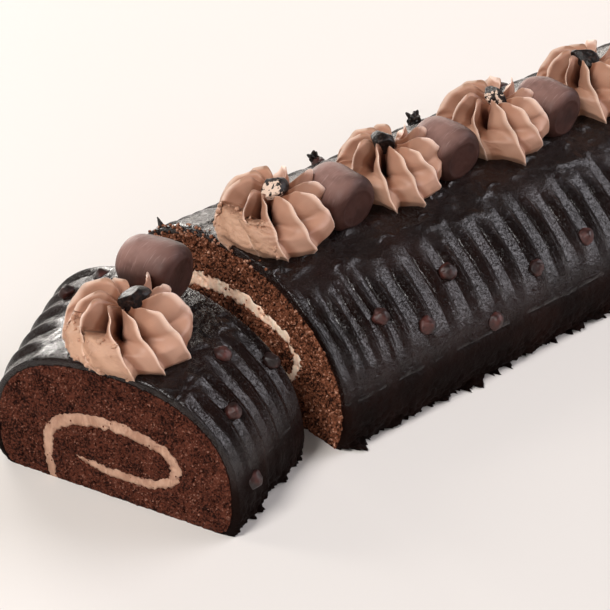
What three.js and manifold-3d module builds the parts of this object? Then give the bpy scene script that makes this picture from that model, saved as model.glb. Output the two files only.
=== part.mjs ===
// Chocolate swiss roll cake with its first slice cut and turned a little away.
// A dark sponge is rolled round a hook of cream and coated with combed
// ganache. Piped rosettes, each with a dark nib, and round chocolate candies
// stand along the top. Millimetres, +Z up, X along the roll, and the origin at
// the middle of the long roll's underside.
import * as THREE from "three";
import { mergeVertices } from "three/addons/utils/BufferGeometryUtils.js";
import Module from "manifold-3d";

const wasm = await Module();
wasm.setup();

// ---- driving dimensions ----
const GAP = 0.3;                // clearance between pieces that touch
const COAT = 2.7;               // thickness of the ganache
const PASS = 2;                 // how far a cutter runs past what it cuts
const OVERHANG = 8;             // how far a topping may lean past a cut face
const WELD = 1e-4;              // corners closer than this are one

// A cut section of the cake: widest at wallHeight, with a foot that tucks in.
// crown and foot are the powers of the two superellipse quarters.
const ROLL_SECTION = {
  halfWidth: 52, height: 48.5, wallHeight: 12.3, footHalf: 46.7, crown: 2.05, foot: 2.43,
};
const SLICE_FRONT_SECTION = {
  halfWidth: 40.8, height: 43.3, wallHeight: 11.2, footHalf: 35.3, crown: 2.47, foot: 2.43,
};
const SLICE_BACK_SECTION = {
  halfWidth: 48, height: 46.5, wallHeight: 11.6, footHalf: 42.2, crown: 2.12, foot: 2.43,
};

// Each body of cake runs between two cut faces. turn is degrees about Z,
// spiral scales the cream's hook across and up, and span holds the stations
// that its plain surfaces need.
const ROLL = {
  length: 240,
  front: { x: -120, y: 0, turn: 0, section: ROLL_SECTION, spiral: [1.44, 1.3] },
  back: { x: 120, y: 0, turn: 0, section: ROLL_SECTION, spiral: [1.44, 1.3] },
  span: [0, 1],
  ribPitch: 9.6,
  seed: 11,
};
const SLICE = {
  length: 42,
  front: { x: -182, y: -22.7, turn: 20.3, section: SLICE_FRONT_SECTION, spiral: [1, 1] },
  back: { x: -142.9, y: 0.6, turn: 14, section: SLICE_BACK_SECTION, spiral: [1.18, 1.02] },
  span: [0, 0.5, 1],
  ribPitch: 8.4,
  seed: 5,
};

// The comb scoops wide grooves between thin ridges, from the shoulder to the
// crease above the foot. power flattens a groove's floor.
const RIB = { relief: 1.2, power: 0.6, start: 0.18, full: 0.28, fade: 0.56, end: 0.7 };
const RIB_STATIONS = [0, 0.28, 0.72];
const END_SLIVER = 0.003;       // share of a body too short for one more station
const ARCH_STEPS = 10;          // steps round half a section, crown to foot
const CROWN_SHARE = 0.76;       // share of those steps above the widest line
const HEM = { from: 0.8, ragged: 0.7 };

// The hook of cream, from its inner tip round the core and down to the base,
// as [across, up, half thickness] on the slice's front face.
const HOOK = [
  [12.8, 10.9, 0.5], [7.5, 9.4, 1.2], [0.5, 8.6, 1.7], [-7, 8.7, 1.7], [-14, 9.6, 1.6],
  [-19.4, 12.4, 1.7], [-20.8, 17.2, 1.9], [-17.6, 21.6, 1.9], [-9.5, 23.8, 1.9],
  [0, 24.8, 2.1], [9, 23.6, 2.3], [16, 21, 2.2], [20.6, 16.4, 1.9], [21.8, 9.5, 1.7],
  [20.8, 0, 1.6],
];
const HOOK_STEPS = 26;
const ARCH_NUDGE = 0.01;        // a short way round the arch, to find its slope

// Toppings.
const PETALS = 10;
const ROSETTE = {
  radius: 18.1, height: 16.2, widest: 3.6, dimple: 3, root: 7, groove: 0.32, fullness: 2.6,
  innerTwist: -16, innerUntil: 0.5, outerTwist: 34, outerFrom: 0.45, grooveFull: 0.35,
  rim: 0.9, steps: 6,
};
// The candy's turned outline from its broad cap, as shares of radius and length.
const CANDY = { radius: 9.2, length: 18.6, sides: 16 };
const CANDY_OUTLINE = [
  [0, 0], [0.674, 0], [0.9, 0.045], [1, 0.181], [0.9, 0.8], [0.774, 0.93], [0.573, 1], [0, 1],
];
const NIB = { length: 10, width: 7.4, height: 6.6, up: 14.3, lumps: [0.82, 1.06], turnStep: 30 };
const CHIP = { size: 2.9, flat: 0.8, sunk: 0.5, sizes: [0.75, 1.1], stretch: [0.85, 1.15] };

// ---- small helpers ----
const radians = THREE.MathUtils.degToRad;
const mix = THREE.MathUtils.lerp;
const smooth = THREE.MathUtils.smoothstep;

const DRAW = { spread: 7919, offset: 13, multiplier: 1103515245, increment: 12345, modulus: 2 ** 31 };

function seeded(seed) {
  let state = seed * DRAW.spread + DRAW.offset;
  return () => {
    state = (state * DRAW.multiplier + DRAW.increment) % DRAW.modulus;
    return state / DRAW.modulus;
  };
}

function meshFrom(points, triangles) {
  const geometry = new THREE.BufferGeometry();
  geometry.setAttribute("position", new THREE.Float32BufferAttribute(points.flat(), 3));
  geometry.setIndex(triangles.flat());
  return geometry;
}

function toSolid(geometry) {
  const bare = geometry.clone();
  bare.deleteAttribute("normal");
  bare.deleteAttribute("uv");
  const welded = mergeVertices(bare, WELD);
  const mesh = new wasm.Mesh({
    numProp: 3,
    vertProperties: new Float32Array(welded.attributes.position.array),
    triVerts: new Uint32Array(welded.index.array),
  });
  mesh.merge();
  return new wasm.Manifold(mesh);
}

function toGeometry(solid) {
  const { vertProperties, triVerts } = solid.getMesh();
  const geometry = new THREE.BufferGeometry();
  geometry.setAttribute("position", new THREE.BufferAttribute(vertProperties, 3));
  geometry.setIndex(new THREE.BufferAttribute(triVerts, 1));
  return geometry;
}

// ---- the cake's own coordinates: s along a body, t round its arch ----
function mixSection(cake, s) {
  const section = {};
  for (const key of Object.keys(ROLL_SECTION)) {
    section[key] = mix(cake.front.section[key], cake.back.section[key], s);
  }
  return section;
}

// A point of the arch: t is 0 at the crown, -1 at the foot on the -Y side and
// 1 at the other foot. grow moves it out from the cake.
function archPoint(section, t, grow) {
  const side = Math.sign(t) || 1;
  const u = Math.abs(t);
  const wide = section.halfWidth + grow;
  const foot = section.footHalf + grow;
  if (u < CROWN_SHARE) {
    const angle = (u / CROWN_SHARE) * Math.PI / 2;
    const across = wide * Math.sin(angle) ** (2 / section.crown);
    const rise = (section.height + grow - section.wallHeight) * Math.cos(angle) ** (2 / section.crown);
    return [side * across, section.wallHeight + rise];
  }
  const angle = ((u - CROWN_SHARE) / (1 - CROWN_SHARE)) * Math.PI / 2;
  const across = foot + (wide - foot) * Math.max(Math.cos(angle), 0) ** (2 / section.foot);
  const drop = section.wallHeight * Math.sin(angle) ** (2 / section.foot);
  return [side * across, section.wallHeight - drop];
}

// From across and up on a section to the cake's frame.
function placeOnCake(cake, s, across, up) {
  const turn = radians(mix(cake.front.turn, cake.back.turn, s));
  return [
    mix(cake.front.x, cake.back.x, s) - Math.sin(turn) * across,
    mix(cake.front.y, cake.back.y, s) + Math.cos(turn) * across,
    up,
  ];
}

function arch(section, grow) {
  const points = [];
  for (let i = -ARCH_STEPS; i <= ARCH_STEPS; i += 1) {
    points.push(archPoint(section, i / ARCH_STEPS, grow));
  }
  return points;
}

// A closed solid swept along the cake: outline(s) gives the same number of
// [across, up] points at each station.
function loft(cake, stations, outline) {
  const rings = stations.map((s) => outline(s));
  const count = rings[0].length;
  const points = [];
  const triangles = [];
  rings.forEach((ring, k) => {
    ring.forEach(([across, up]) => points.push(placeOnCake(cake, stations[k], across, up)));
  });
  for (let k = 0; k + 1 < rings.length; k += 1) {
    for (let i = 0; i < count; i += 1) {
      const a = k * count + i;
      const b = k * count + (i + 1) % count;
      triangles.push([a, a + count, b], [b, a + count, b + count]);
    }
  }
  triangles.push(...endCap(rings[0], 0, 1));
  triangles.push(...endCap(rings.at(-1), points.length - count, -1));
  const solid = toSolid(meshFrom(points, triangles));
  if (solid.volume() > 0) {
    return solid;
  }
  return toSolid(meshFrom(points, triangles.map(([a, b, c]) => [a, c, b])));
}

// The stations of a cutter, which runs a little past both faces.
function pastBothFaces(cake, extra) {
  return [-extra / cake.length, ...cake.span, 1 + extra / cake.length];
}

// The triangles that close a ring, wound as the ring is for way 1 and the
// other way for way -1.
function endCap(ring, start, way) {
  const outline = ring.map(([across, up]) => new THREE.Vector2(across, up));
  const ringArea = THREE.ShapeUtils.area(outline);
  return THREE.ShapeUtils.triangulateShape(outline, []).map(([a, b, c]) => {
    const area = THREE.ShapeUtils.area([outline[a], outline[b], outline[c]]);
    const same = area * ringArea * way > 0;
    return same ? [start + a, start + b, start + c] : [start + a, start + c, start + b];
  });
}

// ---- ganache ----
function ribHeight(cake, s, t) {
  const along = s * cake.length / cake.ribPitch;
  const phase = along - Math.floor(along);
  const scoop = Math.abs(Math.sin(Math.PI * phase)) ** RIB.power;
  const u = Math.abs(t);
  const reach = smooth(u, RIB.start, RIB.full) * (1 - smooth(u, RIB.fade, RIB.end));
  return -RIB.relief * scoop * reach;
}

function coatStations(cake) {
  const ribs = Math.ceil(cake.length / cake.ribPitch);
  const stations = [];
  for (let i = 0; i < ribs; i += 1) {
    for (const part of RIB_STATIONS) {
      stations.push((i + part) * cake.ribPitch / cake.length);
    }
  }
  return [...stations.filter((s) => s < 1 - END_SLIVER), 1];
}

function coatOutline(cake, random) {
  return (s) => {
    const section = mixSection(cake, s);
    const points = [];
    for (let i = -ARCH_STEPS; i <= ARCH_STEPS; i += 1) {
      const t = i / ARCH_STEPS;
      const hem = smooth(Math.abs(t), HEM.from, 1) * HEM.ragged * (2 * random() - 1);
      points.push(archPoint(section, t, ribHeight(cake, s, t) + hem));
    }
    return points;
  };
}

function chipSolid(cake, s, t, random) {
  const section = mixSection(cake, s);
  const [across, up] = archPoint(section, t, -CHIP.sunk);
  const [nextAcross, nextUp] = archPoint(section, t + ARCH_NUDGE, -CHIP.sunk);
  const geometry = new THREE.IcosahedronGeometry(CHIP.size * mix(...CHIP.sizes, random()), 0);
  geometry.rotateY(random() * Math.PI);
  geometry.scale(1, mix(...CHIP.stretch, random()), CHIP.flat);
  geometry.rotateX(Math.atan2(nextUp - up, nextAcross - across));
  geometry.translate(...placeOnCake(cake, s, across, up));
  return toSolid(geometry);
}

function makeCoat(cake, chips) {
  const random = seeded(cake.seed);
  const outline = coatOutline(cake, random);
  let solid = loft(cake, coatStations(cake), outline);
  for (const [s, t] of chips) {
    solid = solid.add(chipSolid(cake, s, t, random));
  }
  const core = loft(cake, pastBothFaces(cake, PASS), (s) => {
    const points = arch(mixSection(cake, s), -COAT);
    const last = points.at(-1);
    return [[points[0][0], -PASS], ...points, [last[0], -PASS]];
  });
  return solid.subtract(core);
}

// The space above the ganache that toppings may fill.
function clearanceForm(cake) {
  return loft(cake, pastBothFaces(cake, OVERHANG), (s) => arch(mixSection(cake, s), GAP));
}

// ---- sponge and cream ----
function hookOutline(spiral, grow, end) {
  const [wide, high] = spiral;
  const line = new THREE.CatmullRomCurve3(
    HOOK.map(([across, up, half]) => new THREE.Vector3(across * wide, up * high, half)),
    false, "centripetal",
  );
  const left = [];
  const right = [];
  for (let i = 0; i <= HOOK_STEPS; i += 1) {
    const point = line.getPoint(i / HOOK_STEPS);
    const along = line.getTangent(i / HOOK_STEPS);
    const size = (point.z * (wide + high) / 2 + grow) / Math.hypot(along.x, along.y);
    left.push([point.x - along.y * size, point.y + along.x * size]);
    right.push([point.x + along.y * size, point.y - along.x * size]);
  }
  left.at(-1)[1] = end;
  right.at(-1)[1] = end;
  return [...left, ...right.reverse()];
}

function hookAt(cake, s, grow, end) {
  const spiral = cake.front.spiral.map((value, i) => mix(value, cake.back.spiral[i], s));
  return hookOutline(spiral, grow, end);
}

function makeSponge(cake) {
  const body = loft(cake, cake.span, (s) => arch(mixSection(cake, s), -COAT - GAP));
  const slot = loft(cake, pastBothFaces(cake, PASS), (s) => hookAt(cake, s, GAP, -PASS));
  return body.subtract(slot);
}

function makeCream(cake) {
  return loft(cake, cake.span, (s) => hookAt(cake, s, 0, GAP));
}

// ---- toppings, each made round the origin with its foot at z = 0 ----
// One petal in three samples: [share of its turn, how full it is].
const PETAL = [[0, 1], [0.22, 0], [0.62, 0.6]];

function rosetteSolid(turn, size) {
  const { radius, height, widest, dimple, root, groove, grooveFull, fullness, rim, steps } = ROSETTE;
  const { innerTwist, innerUntil, outerTwist, outerFrom } = ROSETTE;
  const rings = [{ r: radius, z: -root, out: 1 }];
  for (let i = 0; i < steps; i += 1) {
    const angle = (i / steps) * Math.PI / 2;
    rings.push({
      r: radius * Math.cos(angle) ** (2 / fullness),
      z: widest + (height - widest) * Math.sin(angle) ** (2 / fullness),
      out: mix(rim, 0, i / steps),
    });
  }
  const points = [];
  const triangles = [];
  const count = PETALS * PETAL.length;
  for (const { r, z, out } of rings) {
    const twist = innerTwist * smooth(out, 0, innerUntil) + outerTwist * smooth(out, outerFrom, 1);
    for (let k = 0; k < PETALS; k += 1) {
      for (const [share, full] of PETAL) {
        const angle = radians(turn + twist + (k + share) * 360 / PETALS);
        const depth = groove * smooth(out, 0, grooveFull);
        const reach = size * (1 - depth * (1 - full));
        points.push([r * reach * Math.cos(angle), r * reach * Math.sin(angle), z * size]);
      }
    }
  }
  const foot = points.push([0, 0, -root * size]) - 1;
  const peak = points.push([0, 0, (height - dimple) * size]) - 1;
  for (let k = 0; k + 1 < rings.length; k += 1) {
    for (let i = 0; i < count; i += 1) {
      const a = k * count + i;
      const b = k * count + (i + 1) % count;
      triangles.push([a, b, a + count], [b, b + count, a + count]);
    }
  }
  const top = (rings.length - 1) * count;
  for (let i = 0; i < count; i += 1) {
    const next = (i + 1) % count;
    triangles.push([foot, next, i], [peak, top + i, top + next]);
  }
  return toSolid(meshFrom(points, triangles));
}

// A round candy lying across the cake, its broad cap towards -Y.
function candySolid(grow) {
  const { radius, length, sides } = CANDY;
  const points = CANDY_OUTLINE.map(([out, share]) => {
    const end = grow * (2 * share - 1);
    return new THREE.Vector2(out > 0 ? out * radius + grow : 0, (share - 0.5) * length + end);
  });
  return toSolid(new THREE.LatheGeometry(points, sides));
}

function nibSolid(seed, grow) {
  const random = seeded(seed);
  const geometry = new THREE.IcosahedronGeometry(1, 1);
  const position = geometry.attributes.position;
  const lumps = new Map();
  for (let i = 0; i < position.count; i += 1) {
    const v = new THREE.Vector3().fromBufferAttribute(position, i);
    const key = v.toArray().map((value) => value.toFixed(3)).join();
    if (!lumps.has(key)) {
      lumps.set(key, mix(...NIB.lumps, random()));
    }
    const lump = lumps.get(key);
    position.setXYZ(
      i,
      v.x * (lump * NIB.length / 2 + grow),
      v.y * (lump * NIB.width / 2 + grow),
      v.z * (lump * NIB.height / 2 + grow),
    );
  }
  return toSolid(geometry);
}

function moved(solid, [x, y, z], turn, tilt = 0) {
  return solid.rotate([tilt, 0, turn]).translate([x, y, z]);
}

// ---- where the toppings lie ----
function crownHeight(cake, s) {
  return mixSection(cake, s).height;
}

// Servings along the long roll, one rosette and one candy in each. Every other
// one sways a little from its neighbours.
const SERVING = {
  count: 5, first: 15.5, pitch: 46.6, across: -2.5, turn: 13, turnStep: 61, shrink: 0.02, nib: [-1.8, 1.5],
  candy: { along: 20.8, across: -6.2, sway: 1, turn: 2, turnSway: 4, tilt: 6, sunk: 3 },
};
const rosettes = [{ cake: SLICE, s: 0.27, across: -1.8, turn: 4, size: 1, nib: [2, -1.5] }];
const candies = [{ cake: SLICE, s: 0.8, across: 0.5, turn: 3, tilt: 5, sunk: 0.5 }];
for (let i = 0; i < SERVING.count; i += 1) {
  const along = SERVING.first + i * SERVING.pitch;
  const side = i % 2;
  const { candy } = SERVING;
  rosettes.push({
    cake: ROLL,
    s: along / ROLL.length,
    across: SERVING.across,
    turn: SERVING.turn + SERVING.turnStep * i,
    size: 1 - SERVING.shrink * side,
    nib: SERVING.nib.map((shift) => shift * side),
  });
  candies.push({
    cake: ROLL,
    s: (along + candy.along) / ROLL.length,
    across: candy.across + candy.sway * side,
    turn: candy.turn - candy.turnSway * side,
    tilt: candy.tilt,
    sunk: candy.sunk,
  });
}

// Chocolate chips stuck in the coat, as [along, round the arch]: the front
// ones by hand, the rest scattered by a rule.
const rollChips = [
  [0.217, -0.41], [0.35, -0.54], [0.15, -0.55], [0.258, -0.66], [0.092, -0.45],
  [0.033, 0.5], [0.283, 0.38], [0.467, 0.39], [0.625, 0.38], [0.66, 0.42],
];
const sliceChips = [
  [0.292, -0.44], [0.225, -0.73], [0.93, -0.44], [0.608, -0.28], [0.742, 0.35], [0.88, 0.22],
];
const SCATTER = {
  seed: 23, count: 7,
  near: { first: 0.45, step: 0.075, reach: [0.4, 0.7] },
  far: { first: 0.12, step: 0.12, reach: [0.5, 0.72] },
};
const scatter = seeded(SCATTER.seed);
for (let i = 0; i < SCATTER.count; i += 1) {
  const { near, far } = SCATTER;
  rollChips.push([near.first + near.step * i, -mix(...near.reach, scatter())]);
  rollChips.push([far.first + far.step * i, mix(...far.reach, scatter())]);
}

// ---- the scene graph ----
const finish = (color, roughness) => new THREE.MeshStandardMaterial({ color, roughness, metalness: 0 });
const materials = {
  sponge: finish(0x4b2619, 0.9),
  cream: finish(0xcda58c, 0.6),
  icing: finish(0x1e1614, 0.25),
  rosette: finish(0xd2a282, 0.5),
  candy: finish(0x5f443e, 0.45),
  nib: finish(0x1c1412, 0.5),
};

const cakeGroup = new THREE.Group();

function addPiece(name, solid, material) {
  const geometry = toGeometry(solid);
  geometry.computeVertexNormals();
  const mesh = new THREE.Mesh(geometry, material);
  mesh.name = name;
  cakeGroup.add(mesh);
}

for (const [name, cake, chips] of [["roll", ROLL, rollChips], ["slice", SLICE, sliceChips]]) {
  addPiece(`${name}_sponge`, makeSponge(cake), materials.sponge);
  addPiece(`${name}_cream`, makeCream(cake), materials.cream);
  addPiece(`${name}_icing`, makeCoat(cake, chips), materials.icing);
}

const clearance = new Map([[ROLL, clearanceForm(ROLL)], [SLICE, clearanceForm(SLICE)]]);

function placedCandy({ cake, s, across, turn, tilt, sunk }, grow) {
  const place = placeOnCake(cake, s, across, crownHeight(cake, s) + CANDY.radius - sunk);
  const facing = mix(cake.front.turn, cake.back.turn, s) + turn;
  return moved(candySolid(grow), place, facing, tilt);
}

rosettes.forEach((rosette, i) => {
  const { cake, s, across, turn, size, nib } = rosette;
  const place = placeOnCake(cake, s, across, crownHeight(cake, s));
  const nibPlace = [place[0] + nib[0], place[1] + nib[1], place[2] + NIB.up * size];
  const nibTurn = NIB.turnStep * i;
  let solid = moved(rosetteSolid(turn, size), place, 0);
  solid = solid.subtract(clearance.get(cake));
  for (const candy of candies) {
    solid = solid.subtract(placedCandy(candy, GAP));
  }
  solid = solid.subtract(moved(nibSolid(i + 1, GAP), nibPlace, nibTurn));
  addPiece(`rosette_${i + 1}`, solid, materials.rosette);
  addPiece(`nib_${i + 1}`, moved(nibSolid(i + 1, 0), nibPlace, nibTurn), materials.nib);
});

candies.forEach((candy, i) => {
  const solid = placedCandy(candy, 0).subtract(clearance.get(candy.cake));
  addPiece(`candy_${i + 1}`, solid, materials.candy);
});

export default cakeGroup;
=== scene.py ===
# %% [markdown]
# # Dressing a chocolate swiss roll
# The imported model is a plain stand-in made of flat facets: two lengths of
# rolled sponge, the cream inside them, a coat of ganache, and the toppings.
# It stays as it is and says where everything goes. Each step below makes one
# finished piece over it, in metres, in the same place.

import math
import random

import bmesh
import bpy
import numpy as np
from mathutils import Matrix, Vector, geometry, noise


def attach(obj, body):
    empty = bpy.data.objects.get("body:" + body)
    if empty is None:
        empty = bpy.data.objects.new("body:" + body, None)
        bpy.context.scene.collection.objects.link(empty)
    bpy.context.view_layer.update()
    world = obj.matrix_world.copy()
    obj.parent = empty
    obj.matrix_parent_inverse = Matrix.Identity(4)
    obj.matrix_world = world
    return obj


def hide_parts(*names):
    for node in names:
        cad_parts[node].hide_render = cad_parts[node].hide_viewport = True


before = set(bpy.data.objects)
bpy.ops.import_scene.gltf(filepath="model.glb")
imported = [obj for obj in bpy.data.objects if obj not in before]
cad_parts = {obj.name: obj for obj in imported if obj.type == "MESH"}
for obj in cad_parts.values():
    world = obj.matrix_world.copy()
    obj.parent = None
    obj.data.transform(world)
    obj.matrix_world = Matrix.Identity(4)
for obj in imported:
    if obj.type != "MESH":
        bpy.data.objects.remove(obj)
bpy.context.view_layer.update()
MM = 0.001
print("frame holds", len(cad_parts), "nodes")

# %% [markdown]
# ## A bench for nodes
# Materials and Geometry Nodes are both trees of small sums. Wiring them by
# hand is long, so one class wraps a socket and lets Python write the sums:
# a + b adds a Math node and joins the wires. Any other node comes from one
# method, which sets the node up first and then fills its sockets.

# %% A socket that can be used in sums
class Field:
    """A socket of a node tree that adds Math nodes as it is used in sums."""

    def __init__(self, bench, socket):
        self.bench = bench
        self.socket = socket

    def maths(self, operation, *others):
        values = dict(enumerate((self, *others)))
        return self.bench.node("ShaderNodeMath", {"operation": operation}, values)

    def swapped(self, operation, other):
        return self.bench.node("ShaderNodeMath", {"operation": operation}, {0: other, 1: self})

    def __add__(self, other):
        return self.maths("ADD", other)

    def __sub__(self, other):
        return self.maths("SUBTRACT", other)

    def __rsub__(self, other):
        return self.swapped("SUBTRACT", other)

    def __mul__(self, other):
        return self.maths("MULTIPLY", other)

    def __truediv__(self, other):
        return self.maths("DIVIDE", other)

    def __rtruediv__(self, other):
        return self.swapped("DIVIDE", other)

    def __pow__(self, power):
        return self.maths("POWER", power)

    def __abs__(self):
        return self.maths("ABSOLUTE")

    # A sum or a product is the same either way round.
    __radd__ = __add__
    __rmul__ = __mul__

    def at_least(self, lowest):
        return self.maths("MAXIMUM", lowest)

    def at_most(self, highest):
        return self.maths("MINIMUM", highest)

    def ramp(self, low, high, start=0.0, end=1.0):
        """Rises smoothly from start at low to end at high."""
        values = {0: self, 1: low, 2: high, 3: start, 4: end}
        return self.bench.node("ShaderNodeMapRange", {"interpolation_type": "SMOOTHSTEP"}, values)

    def fall(self, low, high, end=0.0):
        """Falls smoothly from 1 at low to end at high."""
        return self.ramp(low, high, 1.0, end)

    def bell(self):
        """1 where this is 0, and fades away on both sides."""
        return (self * self * -1.0).maths("EXPONENT")

    def output(self, name):
        """Another output of the same node."""
        return Field(self.bench, self.socket.node.outputs[name])

    def parts(self):
        """The x, y and z of a vector, or the red, green and blue of a colour."""
        split = self.bench.node("ShaderNodeSeparateXYZ", None, {0: self})
        return [split.output(axis) for axis in "XYZ"]

    def thrice(self):
        """A vector with this as its x, y and z."""
        return self.bench.combine(self, self, self)


# %% A bench that makes nodes in one tree
class Bench:
    """Makes nodes in a tree. Values may be numbers, vectors or Fields."""

    def __init__(self, tree):
        self.tree = tree

    def node(self, kind, settings=None, values=None, output=0):
        made = self.tree.nodes.new(kind)
        for name, setting in (settings or {}).items():
            if name == "stops":
                self.set_stops(made.color_ramp, setting)
            else:
                setattr(made, name, setting)
        for key, value in (values or {}).items():
            self.fill(made.inputs[key], value)
        return Field(self, made.outputs[output])

    def set_stops(self, ramp, stops):
        while len(ramp.elements) < len(stops):
            ramp.elements.new(1.0)
        for element, (position, shade) in zip(ramp.elements, stops):
            element.position = position
            element.color = shade

    def fill(self, socket, value):
        if isinstance(value, Field):
            self.tree.links.new(value.socket, socket)
        else:
            socket.default_value = value

    def noise(self, scale, detail=2.0, roughness=0.5, distortion=0.0, where=None):
        """A cloudy pattern from 0 to 1, with scale clouds to the metre."""
        values = {"Scale": scale, "Detail": detail, "Roughness": roughness, "Distortion": distortion}
        if where is not None:
            values["Vector"] = where
        return self.node("ShaderNodeTexNoise", None, values)

    def cells(self, scale, where):
        """How far each spot is from the middle of its cell."""
        return self.node("ShaderNodeTexVoronoi", {"feature": "F1"}, {"Scale": scale, "Vector": where})

    def own_share(self, number):
        """A share from 0 to 1 that each whole number has to itself."""
        return self.node("ShaderNodeTexWhiteNoise", {"noise_dimensions": "1D"}, {"W": number})

    def random(self, low, high, seed):
        """A number drawn for each point."""
        values = {2: low, 3: high, "Seed": seed}
        return self.node("FunctionNodeRandomValue", {"data_type": "FLOAT"}, values, 1)

    def vector(self, operation, *parts):
        return self.node("ShaderNodeVectorMath", {"operation": operation}, dict(enumerate(parts)))

    def scaled(self, arrow, amount):
        return self.node("ShaderNodeVectorMath", {"operation": "SCALE"}, {0: arrow, "Scale": amount})

    def combine(self, x, y, z):
        return self.node("ShaderNodeCombineXYZ", None, {0: x, 1: y, 2: z})

    def shifted(self, spot, amount):
        """Moves a pattern aside, so that no two pieces share one."""
        return self.vector("ADD", spot, self.combine(amount, 0.0, 0.0))

    def shake(self, reach, scale, detail, where=None):
        """A push that wanders in every direction, up to half of reach."""
        cloud = self.noise(scale, detail, where=where).output("Color")
        return self.scaled(self.vector("SUBTRACT", cloud, (0.5, 0.5, 0.5)), reach)

    def blend(self, share, first, second):
        """Mixes two colours."""
        return self.node("ShaderNodeMix", {"data_type": "RGBA"}, {0: share, 6: first, 7: second}, 2)


print("bench ready")

# %% [markdown]
# ## Meshes
# A piece starts as points, faces and a few values kept on the points, such
# as how far along the cake each one lies. Points are counted in millimetres
# here, and the mesh holds them in metres.

# %% Make a mesh with values on its points
def link_object(name, data):
    """Puts a mesh, a camera or a light in the scene as an object."""
    made = bpy.data.objects.new(name, data)
    bpy.context.scene.collection.objects.link(made)
    return made


def store(mesh, name, values):
    """Keeps one number or one vector on each point of a mesh."""
    values = np.asarray(values, np.float32)
    kind, part = ("FLOAT_VECTOR", "vector") if values.ndim == 2 else ("FLOAT", "value")
    mesh.attributes.new(name, kind, "POINT").data.foreach_set(part, values.ravel())


def make_piece(name, points, faces, values):
    """values: {name: one value for each point}."""
    mesh = bpy.data.meshes.new(name)
    mesh.from_pydata((np.asarray(points, float) * MM).tolist(), [], faces)
    for key, kept_values in values.items():
        store(mesh, key, kept_values)
    return link_object(name, mesh)


def face_outwards(piece):
    """Turns every face of a closed mesh outwards."""
    work = bmesh.new()
    work.from_mesh(piece.data)
    bmesh.ops.recalc_face_normals(work, faces=work.faces)
    work.to_mesh(piece.data)
    work.free()


def hand_over(piece, slot, *nodes):
    """The piece rides with the cake and stands for its nodes."""
    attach(piece, "root")
    if nodes:
        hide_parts(*nodes)
    corners = [piece.matrix_world @ Vector(corner) for corner in piece.bound_box]
    top = max(corner.z for corner in corners)
    print(f"{piece.name}: {len(piece.data.polygons)} faces, top {top / MM:.1f} mm")


print("lengths are in millimetres:", MM, "m each")

# %% [markdown]
# ## Rules
# What repeats on this cake follows rules, and a tree of Geometry Nodes holds
# each rule. The tree has named inputs for its sizes, reads the values kept on
# the points and moves them. Its result is then kept as a plain mesh.

# %% Start and end a Geometry Nodes tree
SOCKETS = {float: "NodeSocketFloat", int: "NodeSocketInt", type(None): "NodeSocketMaterial"}


def new_rule(name, inputs):
    """inputs: {label: value}, where None is a finish. Returns the tree's bench and inputs."""
    tree = bpy.data.node_groups.new(name, "GeometryNodeTree")
    face = tree.interface
    face.new_socket("Geometry", in_out="INPUT", socket_type="NodeSocketGeometry")
    for label, value in inputs.items():
        socket = face.new_socket(label, in_out="INPUT", socket_type=SOCKETS[type(value)])
        if value is not None:
            socket.default_value = value
    face.new_socket("Geometry", in_out="OUTPUT", socket_type="NodeSocketGeometry")
    bench = Bench(tree)
    entry = tree.nodes.new("NodeGroupInput")
    given = {label: Field(bench, entry.outputs[label]) for label in ["Geometry", *inputs]}
    return bench, given


def real_mesh(bench, shape):
    """Turns instances into a mesh, because the export drops them."""
    return bench.node("GeometryNodeRealizeInstances", None, {0: shape})


def dress(bench, shape, finish):
    """Gives the whole shape one finish."""
    return bench.node("GeometryNodeSetMaterial", None, {"Geometry": shape, "Material": finish})


def end_rule(bench, shape):
    """Sends the shape out of the tree."""
    bench.fill(bench.tree.nodes.new("NodeGroupOutput").inputs[0], shape)
    print("rule:", bench.tree.name, "with", len(bench.tree.nodes), "nodes")
    return bench


# %% Steps that the rules share
def position(bench):
    """Where each point is."""
    return bench.node("GeometryNodeInputPosition")


def kept(bench, name, kind="FLOAT"):
    """A value that the mesh keeps on its points."""
    return bench.node("GeometryNodeInputNamedAttribute", {"data_type": kind}, {"Name": name})


def keep(bench, shape, name, value):
    """Keeps a value on the points, under a name."""
    settings = {"data_type": "FLOAT", "domain": "POINT"}
    values = {"Geometry": shape, "Name": name, "Value": value}
    return bench.node("GeometryNodeStoreNamedAttribute", settings, values)


def nudge(bench, shape, offset):
    """Moves each point by its own offset."""
    return bench.node("GeometryNodeSetPosition", None, {"Geometry": shape, "Offset": offset})


# %% Apply a rule and keep the plain mesh
def apply_rule(piece, bench, inputs):
    """Sets the inputs by identifier, runs the tree and keeps its mesh."""
    modifier = piece.modifiers.new(bench.tree.name, "NODES")
    modifier.node_group = bench.tree
    for item in bench.tree.interface.items_tree:
        if item.in_out == "INPUT" and item.name in inputs:
            modifier[item.identifier] = inputs[item.name]
    depsgraph = bpy.context.evaluated_depsgraph_get()
    plain = bpy.data.meshes.new_from_object(
        piece.evaluated_get(depsgraph), preserve_all_data_layers=True, depsgraph=depsgraph
    )
    piece.modifiers.clear()
    piece.data = plain
    plain.shade_smooth()


# %% [markdown]
# ## The camera
# The cake is seen from its cut end, a little to the left, from above. A long
# lens from about 0.65 m keeps the roll from shrinking towards its far end.

# %% Place the camera
def place_camera(eye, right, up, forward, lens):
    """The camera looks along forward, with right and up across its view."""
    data = bpy.data.cameras.new("camera")
    data.lens = lens
    data.sensor_width = 36.0
    data.clip_end = 50.0
    data.dof.use_dof = False
    camera = link_object("camera", data)
    columns = zip(right, up, [-part for part in forward], eye)
    camera.matrix_world = Matrix([*columns, (0.0, 0.0, 0.0, 1.0)])
    bpy.context.scene.camera = camera


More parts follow.
